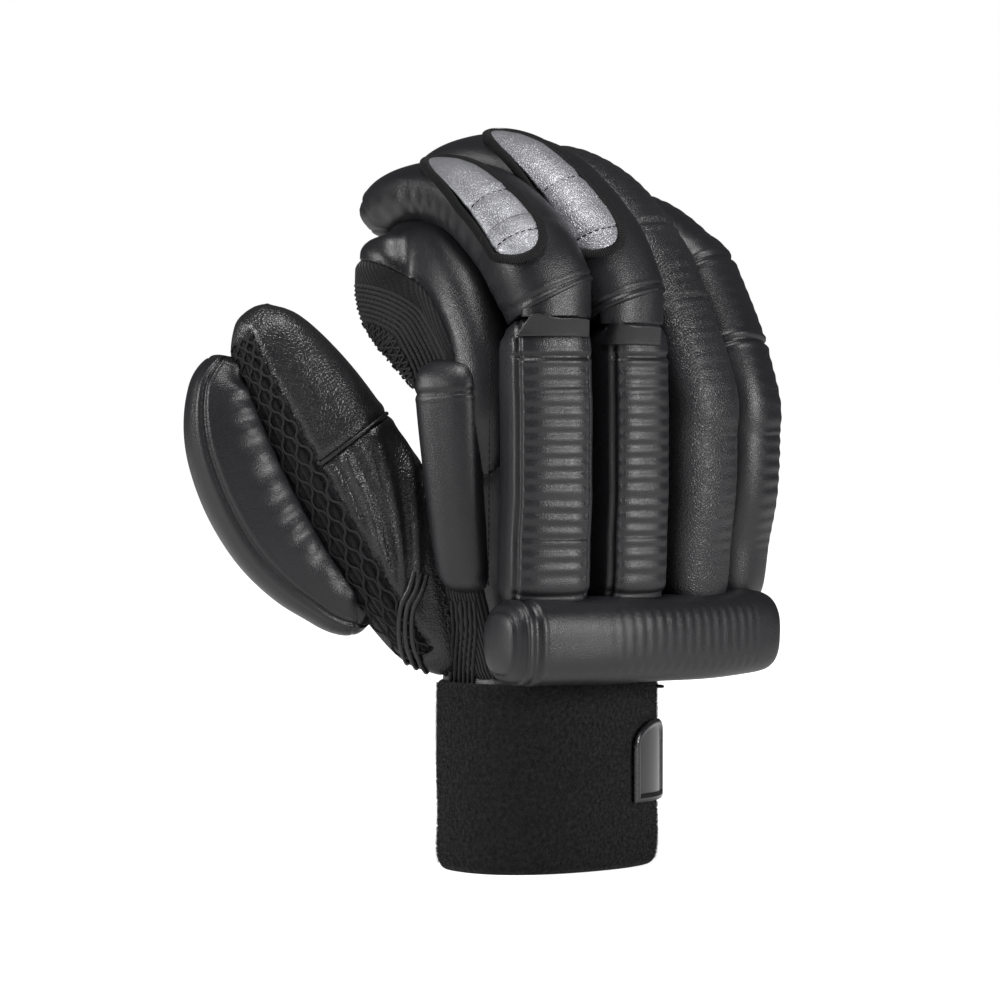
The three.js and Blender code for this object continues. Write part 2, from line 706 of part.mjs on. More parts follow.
const loopShape = new THREE.Shape();
loopShape.absellipse(0, LOOP.deep / 2, LOOP.wide / 2, LOOP.deep / 2, 0, 2 * Math.PI, false, 0);
const loopHole = new THREE.Path();
const [holeWide, holeDeep] = [LOOP.wide / 2 - LOOP.wall, LOOP.deep / 2 - LOOP.wall];
loopHole.absellipse(0, LOOP.deep / 2, holeWide, holeDeep, 0, 2 * Math.PI, true, 0);
loopShape.holes.push(loopHole);
const loopRing = new THREE.ExtrudeGeometry(loopShape, {
  depth: LOOP.thick,
  bevelEnabled: false,
  curveSegments: 6,
});
const loopSide = sideOf(-LOOP.turn);
const loopOut = loopSide.clone().cross(vector(0, 0, 1));
const ovalAngle = Math.atan2(-loopOut.y * CUFF.depth, loopOut.x * CUFF.width);
const loopBasis = new THREE.Matrix4().makeBasis(loopSide, loopOut, vector(0, 0, -1));
loopBasis.setPosition(
  (CUFF.width / 2) * Math.cos(ovalAngle) + loopOut.x * FIT,
  -(CUFF.depth / 2) * Math.sin(ovalAngle) + loopOut.y * FIT,
  LOOP.z,
);
parts.cuff_loop = solidOf(loopRing.applyMatrix4(loopBasis)).subtract(
  tube(CUFF.width + 2 * FIT, CUFF.depth + 2 * FIT, 0, CUFF.height),
);

// Materials and the finished group, standing on the cuff with the middle of its base at the origin

const finish = (color, roughness, metalness = 0) =>
  new THREE.MeshStandardMaterial({ color, roughness, metalness });

const MATERIALS = {
  smooth_leather: finish(0x2c2c2f, 0.48),
  grained_leather: finish(0x232325, 0.4),
  silver_leather: finish(0xa6a6ae, 0.38, 0.35),
  knit: finish(0x18181a, 0.9),
  mesh: finish(0x151517, 0.85),
  fleece: finish(0x1d1d20, 0.97),
  binding: finish(0x121214, 0.8),
  moulding: finish(0x2f2f33, 0.3),
};
const SURFACES = {
  cuff: "fleece",
  cuff_loop: "binding",
  badge: "moulding",
  palm_leather: "grained_leather",
  palm_heel: "grained_leather",
  thumb_cap: "grained_leather",
  thumb_leather: "grained_leather",
  ring_pad: "grained_leather",
  index_gusset: "knit",
  wrist_gusset: "knit",
  thumb_mesh: "mesh",
  index_patch: "silver_leather",
  middle_patch: "silver_leather",
  index_binding: "binding",
  middle_binding: "binding",
};

const glove = new THREE.Group();
for (const [name, solid] of Object.entries(parts)) {
  const mesh = new THREE.Mesh(geometryOf(mainBody(solid)), MATERIALS[SURFACES[name] ?? "smooth_leather"]);
  mesh.name = name;
  glove.add(mesh);
}
const extent = new THREE.Box3().setFromObject(glove);
const middle = extent.getCenter(vector(0, 0, 0));
glove.position.set(-middle.x, -middle.y, -extent.min.z);

export default glove;
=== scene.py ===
# %% [markdown]
# # A padded batting glove
# The real glove is cut from thin leather, knit and fleece and sewn over a hand form. Long foam
# bars lie on its back, and it stands here on its open cuff with the fingers curled over.
# The solids of the frame give every place and size. This script dresses them: it makes each pad,
# panel and seam again with the detail that leather and cloth show, in the same space.

import bpy
import numpy as np
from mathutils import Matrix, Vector
from mathutils.bvhtree import BVHTree
from mathutils.kdtree import KDTree


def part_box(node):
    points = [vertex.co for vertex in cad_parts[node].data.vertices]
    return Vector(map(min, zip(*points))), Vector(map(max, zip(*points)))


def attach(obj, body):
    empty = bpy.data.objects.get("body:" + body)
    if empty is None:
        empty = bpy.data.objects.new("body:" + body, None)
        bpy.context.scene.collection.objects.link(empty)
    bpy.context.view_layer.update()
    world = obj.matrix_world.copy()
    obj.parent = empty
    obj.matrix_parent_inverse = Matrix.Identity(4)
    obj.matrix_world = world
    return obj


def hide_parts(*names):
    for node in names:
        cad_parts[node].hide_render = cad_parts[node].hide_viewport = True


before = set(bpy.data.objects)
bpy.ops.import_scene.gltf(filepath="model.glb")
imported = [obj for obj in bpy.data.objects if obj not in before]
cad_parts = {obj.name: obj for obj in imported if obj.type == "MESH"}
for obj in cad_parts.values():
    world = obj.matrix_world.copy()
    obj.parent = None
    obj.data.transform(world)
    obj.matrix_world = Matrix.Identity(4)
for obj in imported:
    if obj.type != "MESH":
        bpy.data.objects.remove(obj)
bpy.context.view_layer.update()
low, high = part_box("cuff")
FOOT = np.array([(low.x + high.x) / 2, (low.y + high.y) / 2, low.z])
print("middle of the cuff's foot, m:", FOOT.round(4))

# %% [markdown]
# ## Camera
# The photograph looks at the back of the hand from the thumb side, almost level and from far away.
# A near camera would swell the closest pads, so a long lens stands a metre and a half off.

# %% Camera
AZIMUTH, ELEVATION, DISTANCE = np.radians(-40.0), np.radians(1.6), 1.512
view_right = Vector((np.cos(AZIMUTH), np.sin(AZIMUTH), 0))
view_back = Vector(
    (np.sin(AZIMUTH) * np.cos(ELEVATION), -np.cos(AZIMUTH) * np.cos(ELEVATION), np.sin(ELEVATION))
)
aim = Vector(FOOT) - view_right * 0.016 + Vector((0, 0, 0.1228))

camera_data = bpy.data.cameras.new("camera")
camera_data.lens = 162
camera_data.sensor_width = 36
camera = bpy.data.objects.new("camera", camera_data)
camera.location = aim + view_back * DISTANCE
camera.rotation_mode = "QUATERNION"
camera.rotation_quaternion = (-view_back).to_track_quat("-Z", "Y")
bpy.context.collection.objects.link(camera)
bpy.context.scene.camera = camera
print("camera at, m:", [round(value, 3) for value in camera.location])

# %% [markdown]
# ## Lamps and paper
# This is a packshot: black leather on white paper. Leather shows its shape by broad soft
# highlights, so large square lamps stand left, right and above. The paper is a wide floor. Past it
# the world is white for the camera and a dim grey for every other ray, so that it doesn't wash the
# leather out.

# %% Lamps and paper
def lamp(name, offset, size, power):
    """A square soft lamp at an offset from the aim point, in metres, turned towards it."""
    data = bpy.data.lights.new(name, "AREA")
    data.shape = "SQUARE"
    data.size = size
    data.energy = power
    thing = bpy.data.objects.new(name, data)
    thing.location = aim + offset
    thing.rotation_mode = "QUATERNION"
    thing.rotation_quaternion = offset.normalized().to_track_quat("Z", "Y")
    bpy.context.collection.objects.link(thing)


up = Vector((0, 0, 1))
lamp("left_lamp", view_back * 0.5 - view_right * 1.5 + up * 0.5, 0.6, 21)
lamp("right_lamp", view_back * 0.9 + view_right * 1.3 + up * 0.35, 0.5, 20)
lamp("top_lamp", view_back * 0.5 + up * 1.6, 0.7, 25)

world = bpy.data.worlds.new("studio")
world.use_nodes = True
seen = world.node_tree.nodes.new("ShaderNodeLightPath")
paper = world.node_tree.nodes.new("ShaderNodeMix")
paper.data_type = "RGBA"
paper.inputs[6].default_value = (0.07, 0.07, 0.07, 1)
paper.inputs[7].default_value = (1, 1, 1, 1)
world.node_tree.links.new(seen.outputs["Is Camera Ray"], paper.inputs[0])
world.node_tree.links.new(paper.outputs[2], world.node_tree.nodes["Background"].inputs["Color"])
bpy.context.scene.world = world
bpy.context.scene.view_settings.view_transform = "Standard"

floor_mesh = bpy.data.meshes.new("floor")
reach = 40.0  # m, past what the camera sees
floor_mesh.from_pydata(
    [(-reach, -reach, FOOT[2]), (reach, -reach, FOOT[2]), (reach, reach, FOOT[2]), (-reach, reach, FOOT[2])],
    [],
    [(0, 1, 2, 3)],
)
floor = bpy.data.objects.new("floor", floor_mesh)
bpy.context.collection.objects.link(floor)
print("lamps:", [light.name for light in bpy.data.lights])

# %% [markdown]
# ## Sizes
# These are the frame's own sizes, in millimetres from the middle of the cuff's foot, with +Z up the
# fingers, -Y out of the back of the hand and -X to the thumb. The tables that follow give shares
# of them, so a size changes in one place.

# %% Sizes
GAP = 0.3  # between any two pieces
WALL = 2.0  # of the leather
CUFF = dict(width=80, depth=58, height=63, wall=3.5, tuck=7, square=2.3)
HAND = dict(width=116, depth=53, knuckles=173, square=3, to_little=8, to_back=6.5)
STALL_ROOT = 148  # height at which the fingers leave the pocket
BACK_SEAM = 4  # how far behind the middle the back panel meets the palm
PAD_END = 0.89  # share of a finger's ridge at which its pad ends
BAR = dict(foot=90, top=180, flat_from=112, flat_to=160, thick=20, sink=2)
FINGER_PAD = dict(foot=183, wide=33, thick=20, sink=3.5)
PAD_SHIFT = dict(index=15, middle=8, ring=0, little=0)
FINGERS = {
    "index": dict(x=-38, y=-8, heading=12, roll=18, reach=51, rise=54, wide=27, deep=43),
    "middle": dict(x=-6, y=-8, heading=4, roll=5, reach=53, rise=64.5, wide=25, deep=43),
    "ring": dict(x=26, y=-8, heading=-5, roll=-8, reach=51, rise=61, wide=25, deep=43),
    "little": dict(x=54, y=-6, heading=-12, roll=-22, reach=44, rise=48, wide=23, deep=38),
}
BARS = {
    "index": dict(x=-30, wide=32),
    "middle": dict(x=1, wide=28),
    "ring": dict(x=31, wide=28),
    "little": dict(x=57, wide=27),
}
THUMB = dict(x=-40, y=13, z=82, heading=-52, reach=59, rise=102, wide=34, deep=43)
THUMB_PAD = dict(wide=34, thick=32, sink=6, start=0.24, stop=0.81)
THUMB_CAP = dict(x=-46, y=14, z=159, slope=37)
THUMB_MESH = dict(at=-0.32, wide=0.32)
WEB = dict(x=-6, wide=24, deep=26, reach=43, rise=52, edge=1.7)
WRIST_GUSSET = dict(right=-30, front=-17, back=9, foot=64.5, top=99)
ROLL = dict(left=-51, right=63, middle=78, high=28.5, thick=26, y=-41, bow=5, square=2.8)
SIDE_BAR = dict(x=-48, y=-9, turn=64, foot=99, top=164, wide=22, thick=17, sink=3, lean=8)
PATCH = dict(start=0.16, stop=0.54, wide=13, thick=0.9, binding=2.2, to_middle=-8.5)
BADGE = dict(turn=48, up=34.5, wide=24, high=25, arch=8.4, shoulder=6, thick=1.6, rim=2, relief=1)
print("hand, mm:", HAND["width"], "by", HAND["depth"], "with its knuckles at", HAND["knuckles"])

# %% [markdown]
# ## Tables of sections
# How a finger curls or a pad thins to its end is a short table with a row for each section. The
# column names come first. "up", "fore", "out" and "at" say where a section lies, and the other
# columns say how large it is there or how far it is moved, all as shares.

# %% Tables of sections
def table(names, *rows):
    return names.split(), np.array(rows, float)


HAND_ROWS = table(
    "up grow", (0, 0), (0.08, 0), (0.2, 0.35), (0.4, 0.8), (0.6, 1), (0.86, 1), (0.96, 0.9), (1, 0.68)
)
CURL_ROWS = table(
    "fore up wide deep",
    (0.00, 0.00, 0.96, 0.96),
    (0.05, 0.33, 1.00, 1.00),
    (0.22, 0.66, 1.00, 0.98),
    (0.50, 0.92, 0.96, 0.88),
    (0.78, 0.98, 0.94, 0.80),
    (0.95, 0.93, 0.88, 0.72),
    (1.04, 0.90, 0.64, 0.48),
)
WEB_ROWS = table(
    "fore up size",
    (0.10, 0.08, 0.40),
    (0.30, 0.34, 0.74),
    (0.56, 0.60, 1.00),
    (0.80, 0.80, 1.00),
    (0.87, 1.02, 0.90),
    (0.90, 1.15, 0.70),
)
THUMB_ROWS = table(
    "out up wide deep",
    (-0.16, -0.10, 0.50, 0.42),
    (0.00, 0.00, 0.80, 0.74),
    (0.25, 0.28, 1.00, 1.00),
    (0.52, 0.55, 1.00, 1.00),
    (0.76, 0.78, 0.92, 0.86),
    (0.93, 0.94, 0.72, 0.62),
    (1.00, 1.00, 0.42, 0.36),
)
BAR_ROWS = table(
    "at wide thick sink",
    (0.00, 0.84, 0.60, 0.6),
    (0.05, 0.97, 0.90, 1),
    (0.14, 1.00, 1.00, 1),
    (0.50, 1.00, 1.00, 1),
    (0.88, 1.00, 1.00, 1),
    (0.96, 0.97, 0.92, 1),
    (1.00, 0.84, 0.66, 0.6),
)
FINGER_PAD_ROWS = table(
    "at wide thick sink shift",
    (0.00, 0.92, 1.36, 0.6, 1),
    (0.07, 0.96, 1.42, 0.6, 0.96),
    (0.30, 0.98, 1.25, 0.8, 0.64),
    (0.60, 1.00, 1.05, 1, 0.16),
    (0.85, 0.90, 0.95, 1, 0),
    (1.00, 0.56, 0.74, 1.2, 0),
)
LONG_PAD_ROWS = table(
    "at wide thick sink shift",
    (0.00, 0.60, 0.50, 0.2, 0),
    (0.03, 0.93, 0.88, 0.9, 0),
    (0.20, 1.00, 1.00, 1, 0),
    (0.45, 1.00, 1.00, 1, 0),
    (0.70, 1.04, 1.00, 1, 0),
    (0.88, 0.95, 0.95, 1.3, 0),
    (1.00, 0.60, 0.80, 1.6, 0),
)
THUMB_PAD_ROWS = table(
    "at wide thick",
    (0.00, 0.50, 0.40),
    (0.08, 0.80, 0.66),
    (0.35, 1.00, 1.00),
    (0.65, 1.00, 0.98),
    (0.90, 0.86, 0.74),
    (1.00, 0.60, 0.46),
)
ROLL_ROWS = table(
    "at size bow",
    (0.00, 0.70, 1.0),
    (0.03, 0.92, 0.9),
    (0.12, 1.00, 0.6),
    (0.50, 1.00, 0.0),
    (0.88, 1.00, 0.6),
    (0.97, 0.92, 0.9),
    (1.00, 0.70, 1.0),
)
SIDE_BAR_ROWS = table(
    "at wide thick", (0, 0.7, 0.6), (0.06, 0.84, 0.9), (0.5, 0.94, 1), (0.94, 1, 0.92), (1, 0.86, 0.66)
)
PATCH_ROWS = table("at wide", (0, 0.6), (0.07, 0.9), (0.2, 1), (0.5, 0.96), (0.85, 0.84), (1, 0.5))
print("rows of a curled finger:", len(CURL_ROWS[1]))

# %% [markdown]
# ## Lines and sections
# Fingers, pads and the roll are all lofts: a line of centres, and round each centre a rounded
# rectangle (a superellipse). A smooth curve through the table's rows gives as many sections
# as the surface needs. Every section faces along the line, with its sides turned as asked.

# %% Lines and sections
def smooth(rows, count):
    """The table's columns, as a smooth curve with count + 1 values each."""
    names, values = rows
    last = len(values) - 1
    place = np.linspace(0, last, count + 1)
    i = np.minimum(last - 1, place.astype(int))
    t = (place - i)[:, None]
    a, b, c, d = (values[np.clip(i + k, 0, last)] for k in (-1, 0, 1, 2))
    curve = b + 0.5 * t * (c - a + (2 * a - 5 * b + 4 * c - d) * t + (3 * b - a - 3 * c + d) * t * t)
    return dict(zip(names, curve.T))


def spline(values, t):
    """A smooth curve through evenly spaced values, at shares t from 0 to 1."""
    last = len(values) - 1
    place = np.clip(t, 0, 1) * last
    i = np.minimum(last - 1, place.astype(int))
    s = (place - i)[:, None]
    a, b, c, d = (values[np.clip(i + k, 0, last)] for k in (-1, 0, 1, 2))
    return b + 0.5 * s * (c - a + (2 * a - 5 * b + 4 * c - d) * s + (3 * b - a - 3 * c + d) * s * s)


def read_at(want, place, values):
    """Columns of values, read at places between their own."""
    return np.stack([np.interp(want, place, column) for column in values.T], -1)


def length_along(points):
    """How far each point lies along its line."""
    return np.concatenate([[0], np.cumsum(np.linalg.norm(np.diff(points, axis=0), axis=1))])


def unit(vectors):
    return vectors / np.linalg.norm(vectors, axis=-1, keepdims=True)


def heading(turn):
    turn = np.radians(turn)
    return np.stack([np.sin(turn), np.cos(turn), 0 * turn], -1)


def side_of(turn):
    turn = np.radians(turn)
    return np.stack([np.cos(turn), -np.sin(turn), 0 * turn], -1)


def framed(centres, sides, wide, deep):
    """Sections square to the line of centres."""
    along = unit(np.gradient(centres, axis=0))
    across = unit(sides - (sides * along).sum(1)[:, None] * along)
    return dict(centre=centres, along=along, across=across, out=np.cross(across, along), wide=wide, deep=deep)


def level(centres, wide, deep):
    """Sections that stay level, with their sides along X."""
    ones = np.ones((len(centres), 1))
    return dict(
        centre=centres,
        along=ones * [0.0, 0, 1],
        across=ones * [1.0, 0, 0],
        out=ones * [0.0, -1, 0],
        wide=wide,
        deep=deep,
    )


def outline(around, square, aspect=1.0, taper=0.0):
    """Evenly spaced points of a rounded rectangle: across and outward parts, from -1 to 1."""
    angle = np.linspace(0, 2 * np.pi, 4001) - np.pi / 2
    power = 2 / square
    rise = np.sign(np.sin(angle)) * np.abs(np.sin(angle)) ** power
    over = np.sign(np.cos(angle)) * np.abs(np.cos(angle)) ** power * (1 - taper * (rise + 1) / 2)
    step = np.hypot(np.diff(over) * aspect, np.diff(rise))
    length = np.concatenate([[0], np.cumsum(step)])
    want = (np.arange(around) + 0.5) / around * length[-1]
    return np.interp(want, length, over), np.interp(want, length, rise)


print("a ring of 8 points:", np.round(outline(8, 2.4)[0], 2).tolist())

# %% [markdown]
# ## Lines of the fingers, the thumb and the web
# Each finger rises from the pocket and curls forward. Its sections turn as it does, from the roll
# of the knuckle at the root to the finger's own heading at the tip. The web between index and
# thumb is a short curled form of its own.

# %% Lines of the fingers, the thumb and the web
def upright(x, y, heights):
    """Centres at the given heights."""
    return np.stack([x + 0 * heights, y + 0 * heights, heights], -1)


def finger_line(finger, count):
    f, rows = FINGERS[finger], smooth(CURL_ROWS, count)
    centres = upright(f["x"], f["y"], STALL_ROOT + rows["up"] * f["rise"])
    centres = centres + heading(f["heading"]) * rows["fore"][:, None] * f["reach"]
    turn = f["heading"] + (f["roll"] - f["heading"]) * (1 - rows["fore"])
    return framed(centres, side_of(turn), rows["wide"] * f["wide"], rows["deep"] * f["deep"])


def thumb_line(count):
    rows = smooth(THUMB_ROWS, count)
    centres = upright(THUMB["x"], THUMB["y"], THUMB["z"] + rows["up"] * THUMB["rise"])
    centres = centres + heading(THUMB["heading"]) * rows["out"][:, None] * THUMB["reach"]
    sides = np.ones((count + 1, 1)) * side_of(THUMB["heading"])
    return framed(centres, sides, rows["wide"] * THUMB["wide"], rows["deep"] * THUMB["deep"])


def web_line(count):
    f, rows = FINGERS["index"], smooth(WEB_ROWS, count)
    heights = STALL_ROOT + rows["up"] * WEB["rise"]
    centres = upright(f["x"] + WEB["x"], f["y"] + rows["fore"] * WEB["reach"], heights)
    sides = np.ones((count + 1, 1)) * [1.0, 0, 0]
    return framed(centres, sides, rows["size"] * WEB["wide"], rows["size"] * WEB["deep"])


print("middle finger's tip, mm:", finger_line("middle", 8)["centre"].round(0).tolist()[-1])

# %% [markdown]
# ## The hand pocket
# The pocket starts as a narrow neck inside the cuff and widens to the knuckles, from the cuff's
# own rounded section to a squarer one. One function gives its section at any height. The bars
# need to know where its back lies, and a second one says that.

# %% The hand pocket
NECK = dict(
    width=CUFF["width"] - 2 * (CUFF["wall"] + GAP),
    depth=CUFF["depth"] - 2 * (CUFF["wall"] + GAP),
    foot=CUFF["height"] - CUFF["tuck"],
)


def hand_at(rise, grow):
    """The hand pocket's centre, width, depth and squareness at a share of its height."""
    height = NECK["foot"] + (HAND["knuckles"] - NECK["foot"]) * rise
    centre = np.stack([HAND["to_little"] * grow, -HAND["to_back"] * grow, height], -1)
    wide = NECK["width"] + (HAND["width"] - NECK["width"]) * grow
    deep = NECK["depth"] + (HAND["depth"] - NECK["depth"]) * grow
    return centre, wide, deep, CUFF["square"] + (HAND["square"] - CUFF["square"]) * grow


def on_back(x, height):
    """A point on the back of the hand."""
    _, rows = HAND_ROWS
    rise = (height - NECK["foot"]) / (HAND["knuckles"] - NECK["foot"])
    centre, wide, deep, square = hand_at(rise, np.interp(rise, rows[:, 0], rows[:, 1]))
    share = np.minimum(0.98, np.abs(x - centre[..., 0]) / (wide / 2))
    y = centre[..., 1] - deep / 2 * (1 - share**square) ** (1 / square)
    return np.stack([x + 0 * y, y, height + 0 * y], -1)


print("back of the hand at 140 mm up, mm:", on_back(np.array(0.0), np.array(140.0)).round(1).tolist())

# %% [markdown]
# ## Surfaces as numbers
# A dense grid of points is easier to shape than a mesh: a groove, a rib or a wrinkle is a small
# move along the surface's normal, worked out for all points at once. The grid becomes a mesh
# only when it is finished. Sections shrink over a few extra rows at each end, so ends are round.

# %% Surfaces as numbers
def surface(line, ring, start_dome, stop_dome, cap_rows=7):
    """Points (rows, around, 3) round a line, with domed ends, and each row's place along it in mm."""
    over, rise = ring
    sections = len(line["centre"])
    phi = (np.arange(cap_rows) + 0.35) / cap_rows * np.pi / 2
    scale = np.concatenate([np.sin(phi), np.ones(sections), np.sin(phi[::-1])])
    shift = np.concatenate([-start_dome * np.cos(phi), np.zeros(sections), stop_dome * np.cos(phi[::-1])])
    pick = np.concatenate([np.zeros(cap_rows, int), np.arange(sections), np.full(cap_rows, sections - 1)])
    get = lambda key: line[key][pick]
    centre = get("centre") + get("along") * shift[:, None]
    across = (over[None, :] * (get("wide") * scale / 2)[:, None])[..., None] * get("across")[:, None, :]
    outward = (rise[None, :] * (get("deep") * scale / 2)[:, None])[..., None] * get("out")[:, None, :]
    return centre[:, None, :] + across + outward, length_along(centre)


def normals_of(points):
    """Outward normals of a grid that closes round its second axis."""
    round_way = np.roll(points, -1, 1) - np.roll(points, 1, 1)
    along_way = np.gradient(points, axis=0)
    normal = np.cross(round_way, along_way)
    length = np.linalg.norm(normal, axis=-1, keepdims=True)
    normal = normal / np.maximum(length, 1e-9)
    away = points - points.mean(1, keepdims=True)
    return normal if (normal * away).sum() > 0 else -normal


def bell(value, middle, width):
    return np.exp(-(((value - middle) / width) ** 2))


def step_up(value, start, stop):
    t = np.clip((value - start) / (stop - start), 0, 1)
    return t * t * (3 - 2 * t)


def drift(points, size, seed):
    """Slow, repeatable unevenness from -1 to 1, as hand-made things have."""
    generator = np.random.default_rng(seed)
    total = 0
    for k in range(5):
        direction = unit(generator.normal(size=3))
        place = points @ direction * 2 * np.pi / (size * (0.6 + 0.3 * k))
        total = total + np.sin(place + generator.uniform(0, 6.28))
    return total / 5


print("drift at the origin:", round(float(drift(np.zeros((1, 3)), 40, 1)[0]), 3))

# %% [markdown]
# ## From numbers to a mesh
# A grid that closes on itself needs four-sided faces between its rows, and a fan of triangles at
# each open end. The faces are turned outward here, once, so that no piece comes out inside out.

# %% From numbers to a mesh
def as_mesh(name, points, faces, uv=None):
    """A mesh from points in mm from the cuff's foot."""
    mesh = bpy.data.meshes.new(name)
    mesh.from_pydata((points / 1000 + FOOT).tolist(), [], faces.tolist())
    if uv is not None:
        layer = mesh.uv_layers.new(name="cloth")
        loops = np.empty(len(mesh.loops), int)
        mesh.loops.foreach_get("vertex_index", loops)
        layer.data.foreach_set("uv", uv[loops].astype(np.float32).ravel())
    mesh.shade_smooth()
    mesh.update()
    return mesh


def ring_quads(rows, around, closed=False):
    """Faces of a grid that closes round its second axis, and if asked round its first too."""
    i, j = np.meshgrid(np.arange(rows if closed else rows - 1), np.arange(around), indexing="ij")
    up, k = (i + 1) % rows, (j + 1) % around
    return np.stack([i * around + j, i * around + k, up * around + k, up * around + j], -1).reshape(-1, 4)


def closed_grid(points):
    """All points and faces of a grid that closes round its second axis, with fans at both ends."""
    rows, around = points.shape[:2]
    quads = ring_quads(rows, around)
    flat = points.reshape(-1, 3)
    verts = np.concatenate([flat, [points[0].mean(0)], [points[-1].mean(0)]])
    a = np.arange(around)
    b = (a + 1) % around
    top = (rows - 1) * around
    start = np.stack([b, a, np.full(around, len(flat))], -1)
    stop = np.stack([top + a, top + b, np.full(around, len(flat) + 1)], -1)
    faces = quads.tolist() + start.tolist() + stop.tolist()
    middle = verts.mean(0)
    p, q, r = (verts[quads[:, n]] for n in (0, 1, 2))
    if (np.cross(q - p, r - p) * (p - middle)).sum() < 0:
        faces = [face[::-1] for face in faces]
    return verts, faces


def tree_of(points, faces):
    return BVHTree.FromPolygons(points.tolist(), faces)


print("faces of a grid of 3 by 4:", len(ring_quads(3, 4)))

# %% [markdown]
# ## Shared effect: leather grain
# Coated leather has a fine pebble grain, soft creases and slightly paler, worn high spots. One
# shared group gives that as a height and a mask, and each leather sets its own scale.

# %% Shared effect: leather grain
def new_group(name, inputs, outputs):
    group = bpy.data.node_groups.new(name, "ShaderNodeTree")
    for title, kind, value in inputs:
        socket = group.interface.new_socket(title, in_out="INPUT", socket_type=kind)
        if value is not None:
            socket.default_value = value
    for title, kind in outputs:
        group.interface.new_socket(title, in_out="OUTPUT", socket_type=kind)
    return group, group.nodes.new("NodeGroupInput"), group.nodes.new("NodeGroupOutput")


def node(tree, kind, links=(), **settings):
    made = tree.nodes.new(kind)
    for key, value in settings.items():
        if key.startswith("in_"):
            made.inputs[int(key[3:])].default_value = value
        else:
            setattr(made, key, value)
    for source, place in links:
        tree.links.new(source, made.inputs[place])
    return made


def math(tree, operation, first, second=0.5):
    """A sum on two values, each a socket or a number."""
    made = node(tree, "ShaderNodeMath", operation=operation)
    for place, value in enumerate((first, second)):
        if isinstance(value, bpy.types.NodeSocket):
            tree.links.new(value, made.inputs[place])
        else:
            made.inputs[place].default_value = value
    return made.outputs[0]


grain, gin, gout = new_group(
    "leather_grain",
    [
        ("Vector", "NodeSocketVector", None),
        ("Cells per m", "NodeSocketFloat", 900.0),
        ("Creases per m", "NodeSocketFloat", 60.0),
        ("Crease depth", "NodeSocketFloat", 0.5),
    ],
    [("Height", "NodeSocketFloat"), ("Worn", "NodeSocketFloat")],
)
warp = node(grain, "ShaderNodeTexNoise", [(gin.outputs["Vector"], 0)], in_2=180.0, in_3=2.0)
bent = node(
    grain,
    "ShaderNodeVectorMath",
    [(warp.outputs["Color"], 0), (gin.outputs["Vector"], 2)],
    operation="MULTIPLY_ADD",
)
bent.inputs[1].default_value = (0.0006, 0.0006, 0.0006)
cells = node(
    grain,
    "ShaderNodeTexVoronoi",
    [(bent.outputs[0], 0), (gin.outputs["Cells per m"], 2)],
    feature="DISTANCE_TO_EDGE",
)
pebble = node(grain, "ShaderNodeMapRange", [(cells.outputs["Distance"], 0)], interpolation_type="SMOOTHSTEP")
pebble.inputs[2].default_value = 0.32
fine = node(grain, "ShaderNodeTexNoise", [(gin.outputs["Vector"], 0)], in_2=2600.0, in_3=2.0)
crease = node(
    grain,
    "ShaderNodeTexNoise",
    [(gin.outputs["Vector"], 0), (gin.outputs["Creases per m"], 2)],
    in_3=3.0,
    in_8=1.2,
)
fold = node(grain, "ShaderNodeMapRange", [(crease.outputs[0], 0)], interpolation_type="SMOOTHSTEP")
fold.inputs[1].default_value = 0.35
fold.inputs[2].default_value = 0.62
fold_part = math(grain, "MULTIPLY", fold.outputs[0], gin.outputs["Crease depth"])
fine_part = math(grain, "MULTIPLY", fine.outputs[0], 0.35)
with_fine = math(grain, "ADD", pebble.outputs[0], fine_part)
grain.links.new(math(grain, "ADD", with_fine, fold_part), gout.inputs["Height"])
patchy = node(grain, "ShaderNodeTexNoise", [(gin.outputs["Vector"], 0)], in_2=38.0, in_3=4.0)
grain.links.new(patchy.outputs[0], gout.inputs["Worn"])
print("grain gives:", [item.name for item in grain.interface.items_tree if item.in_out == "OUTPUT"])

# %% [markdown]
# ## Shared effect: ribs with eyelets
# The ground under the cords of the knit and the mesh has fine ribs, loops on them and small holes
# between. The holes are also given as a mask, which paints them black as painted shade. The group
# reads the panel's own cloth coordinates, so that ribs and holes follow the cut.

# %% Shared effect: ribs with eyelets
ribs, rin, rout = new_group(
    "knit_ribs",
    [
        ("Vector", "NodeSocketVector", None),
        ("Rib pitch", "NodeSocketFloat", 0.004),
        ("Stitch pitch", "NodeSocketFloat", 0.0011),
        ("Hole size", "NodeSocketFloat", 0.18),
    ],
    [("Height", "NodeSocketFloat"), ("Hole", "NodeSocketFloat")],
)
apart = node(ribs, "ShaderNodeSeparateXYZ", [(rin.outputs["Vector"], 0)])
turn = math(ribs, "DIVIDE", apart.outputs["Y"], rin.outputs["Rib pitch"])
round_rib = math(ribs, "ABSOLUTE", math(ribs, "SINE", math(ribs, "MULTIPLY", turn, float(np.pi))))
small = node(ribs, "ShaderNodeVectorMath", [(rin.outputs["Vector"], 0)], operation="SCALE")
ribs.links.new(math(ribs, "DIVIDE", 1.0, rin.outputs["Stitch pitch"]), small.inputs["Scale"])
loops = node(ribs, "ShaderNodeTexVoronoi", [(small.outputs[0], 0)], in_2=1.0, feature="F1")
loop_part = math(ribs, "MULTIPLY", loops.outputs["Distance"], -0.35)
rib_height = math(ribs, "ADD", round_rib, loop_part)

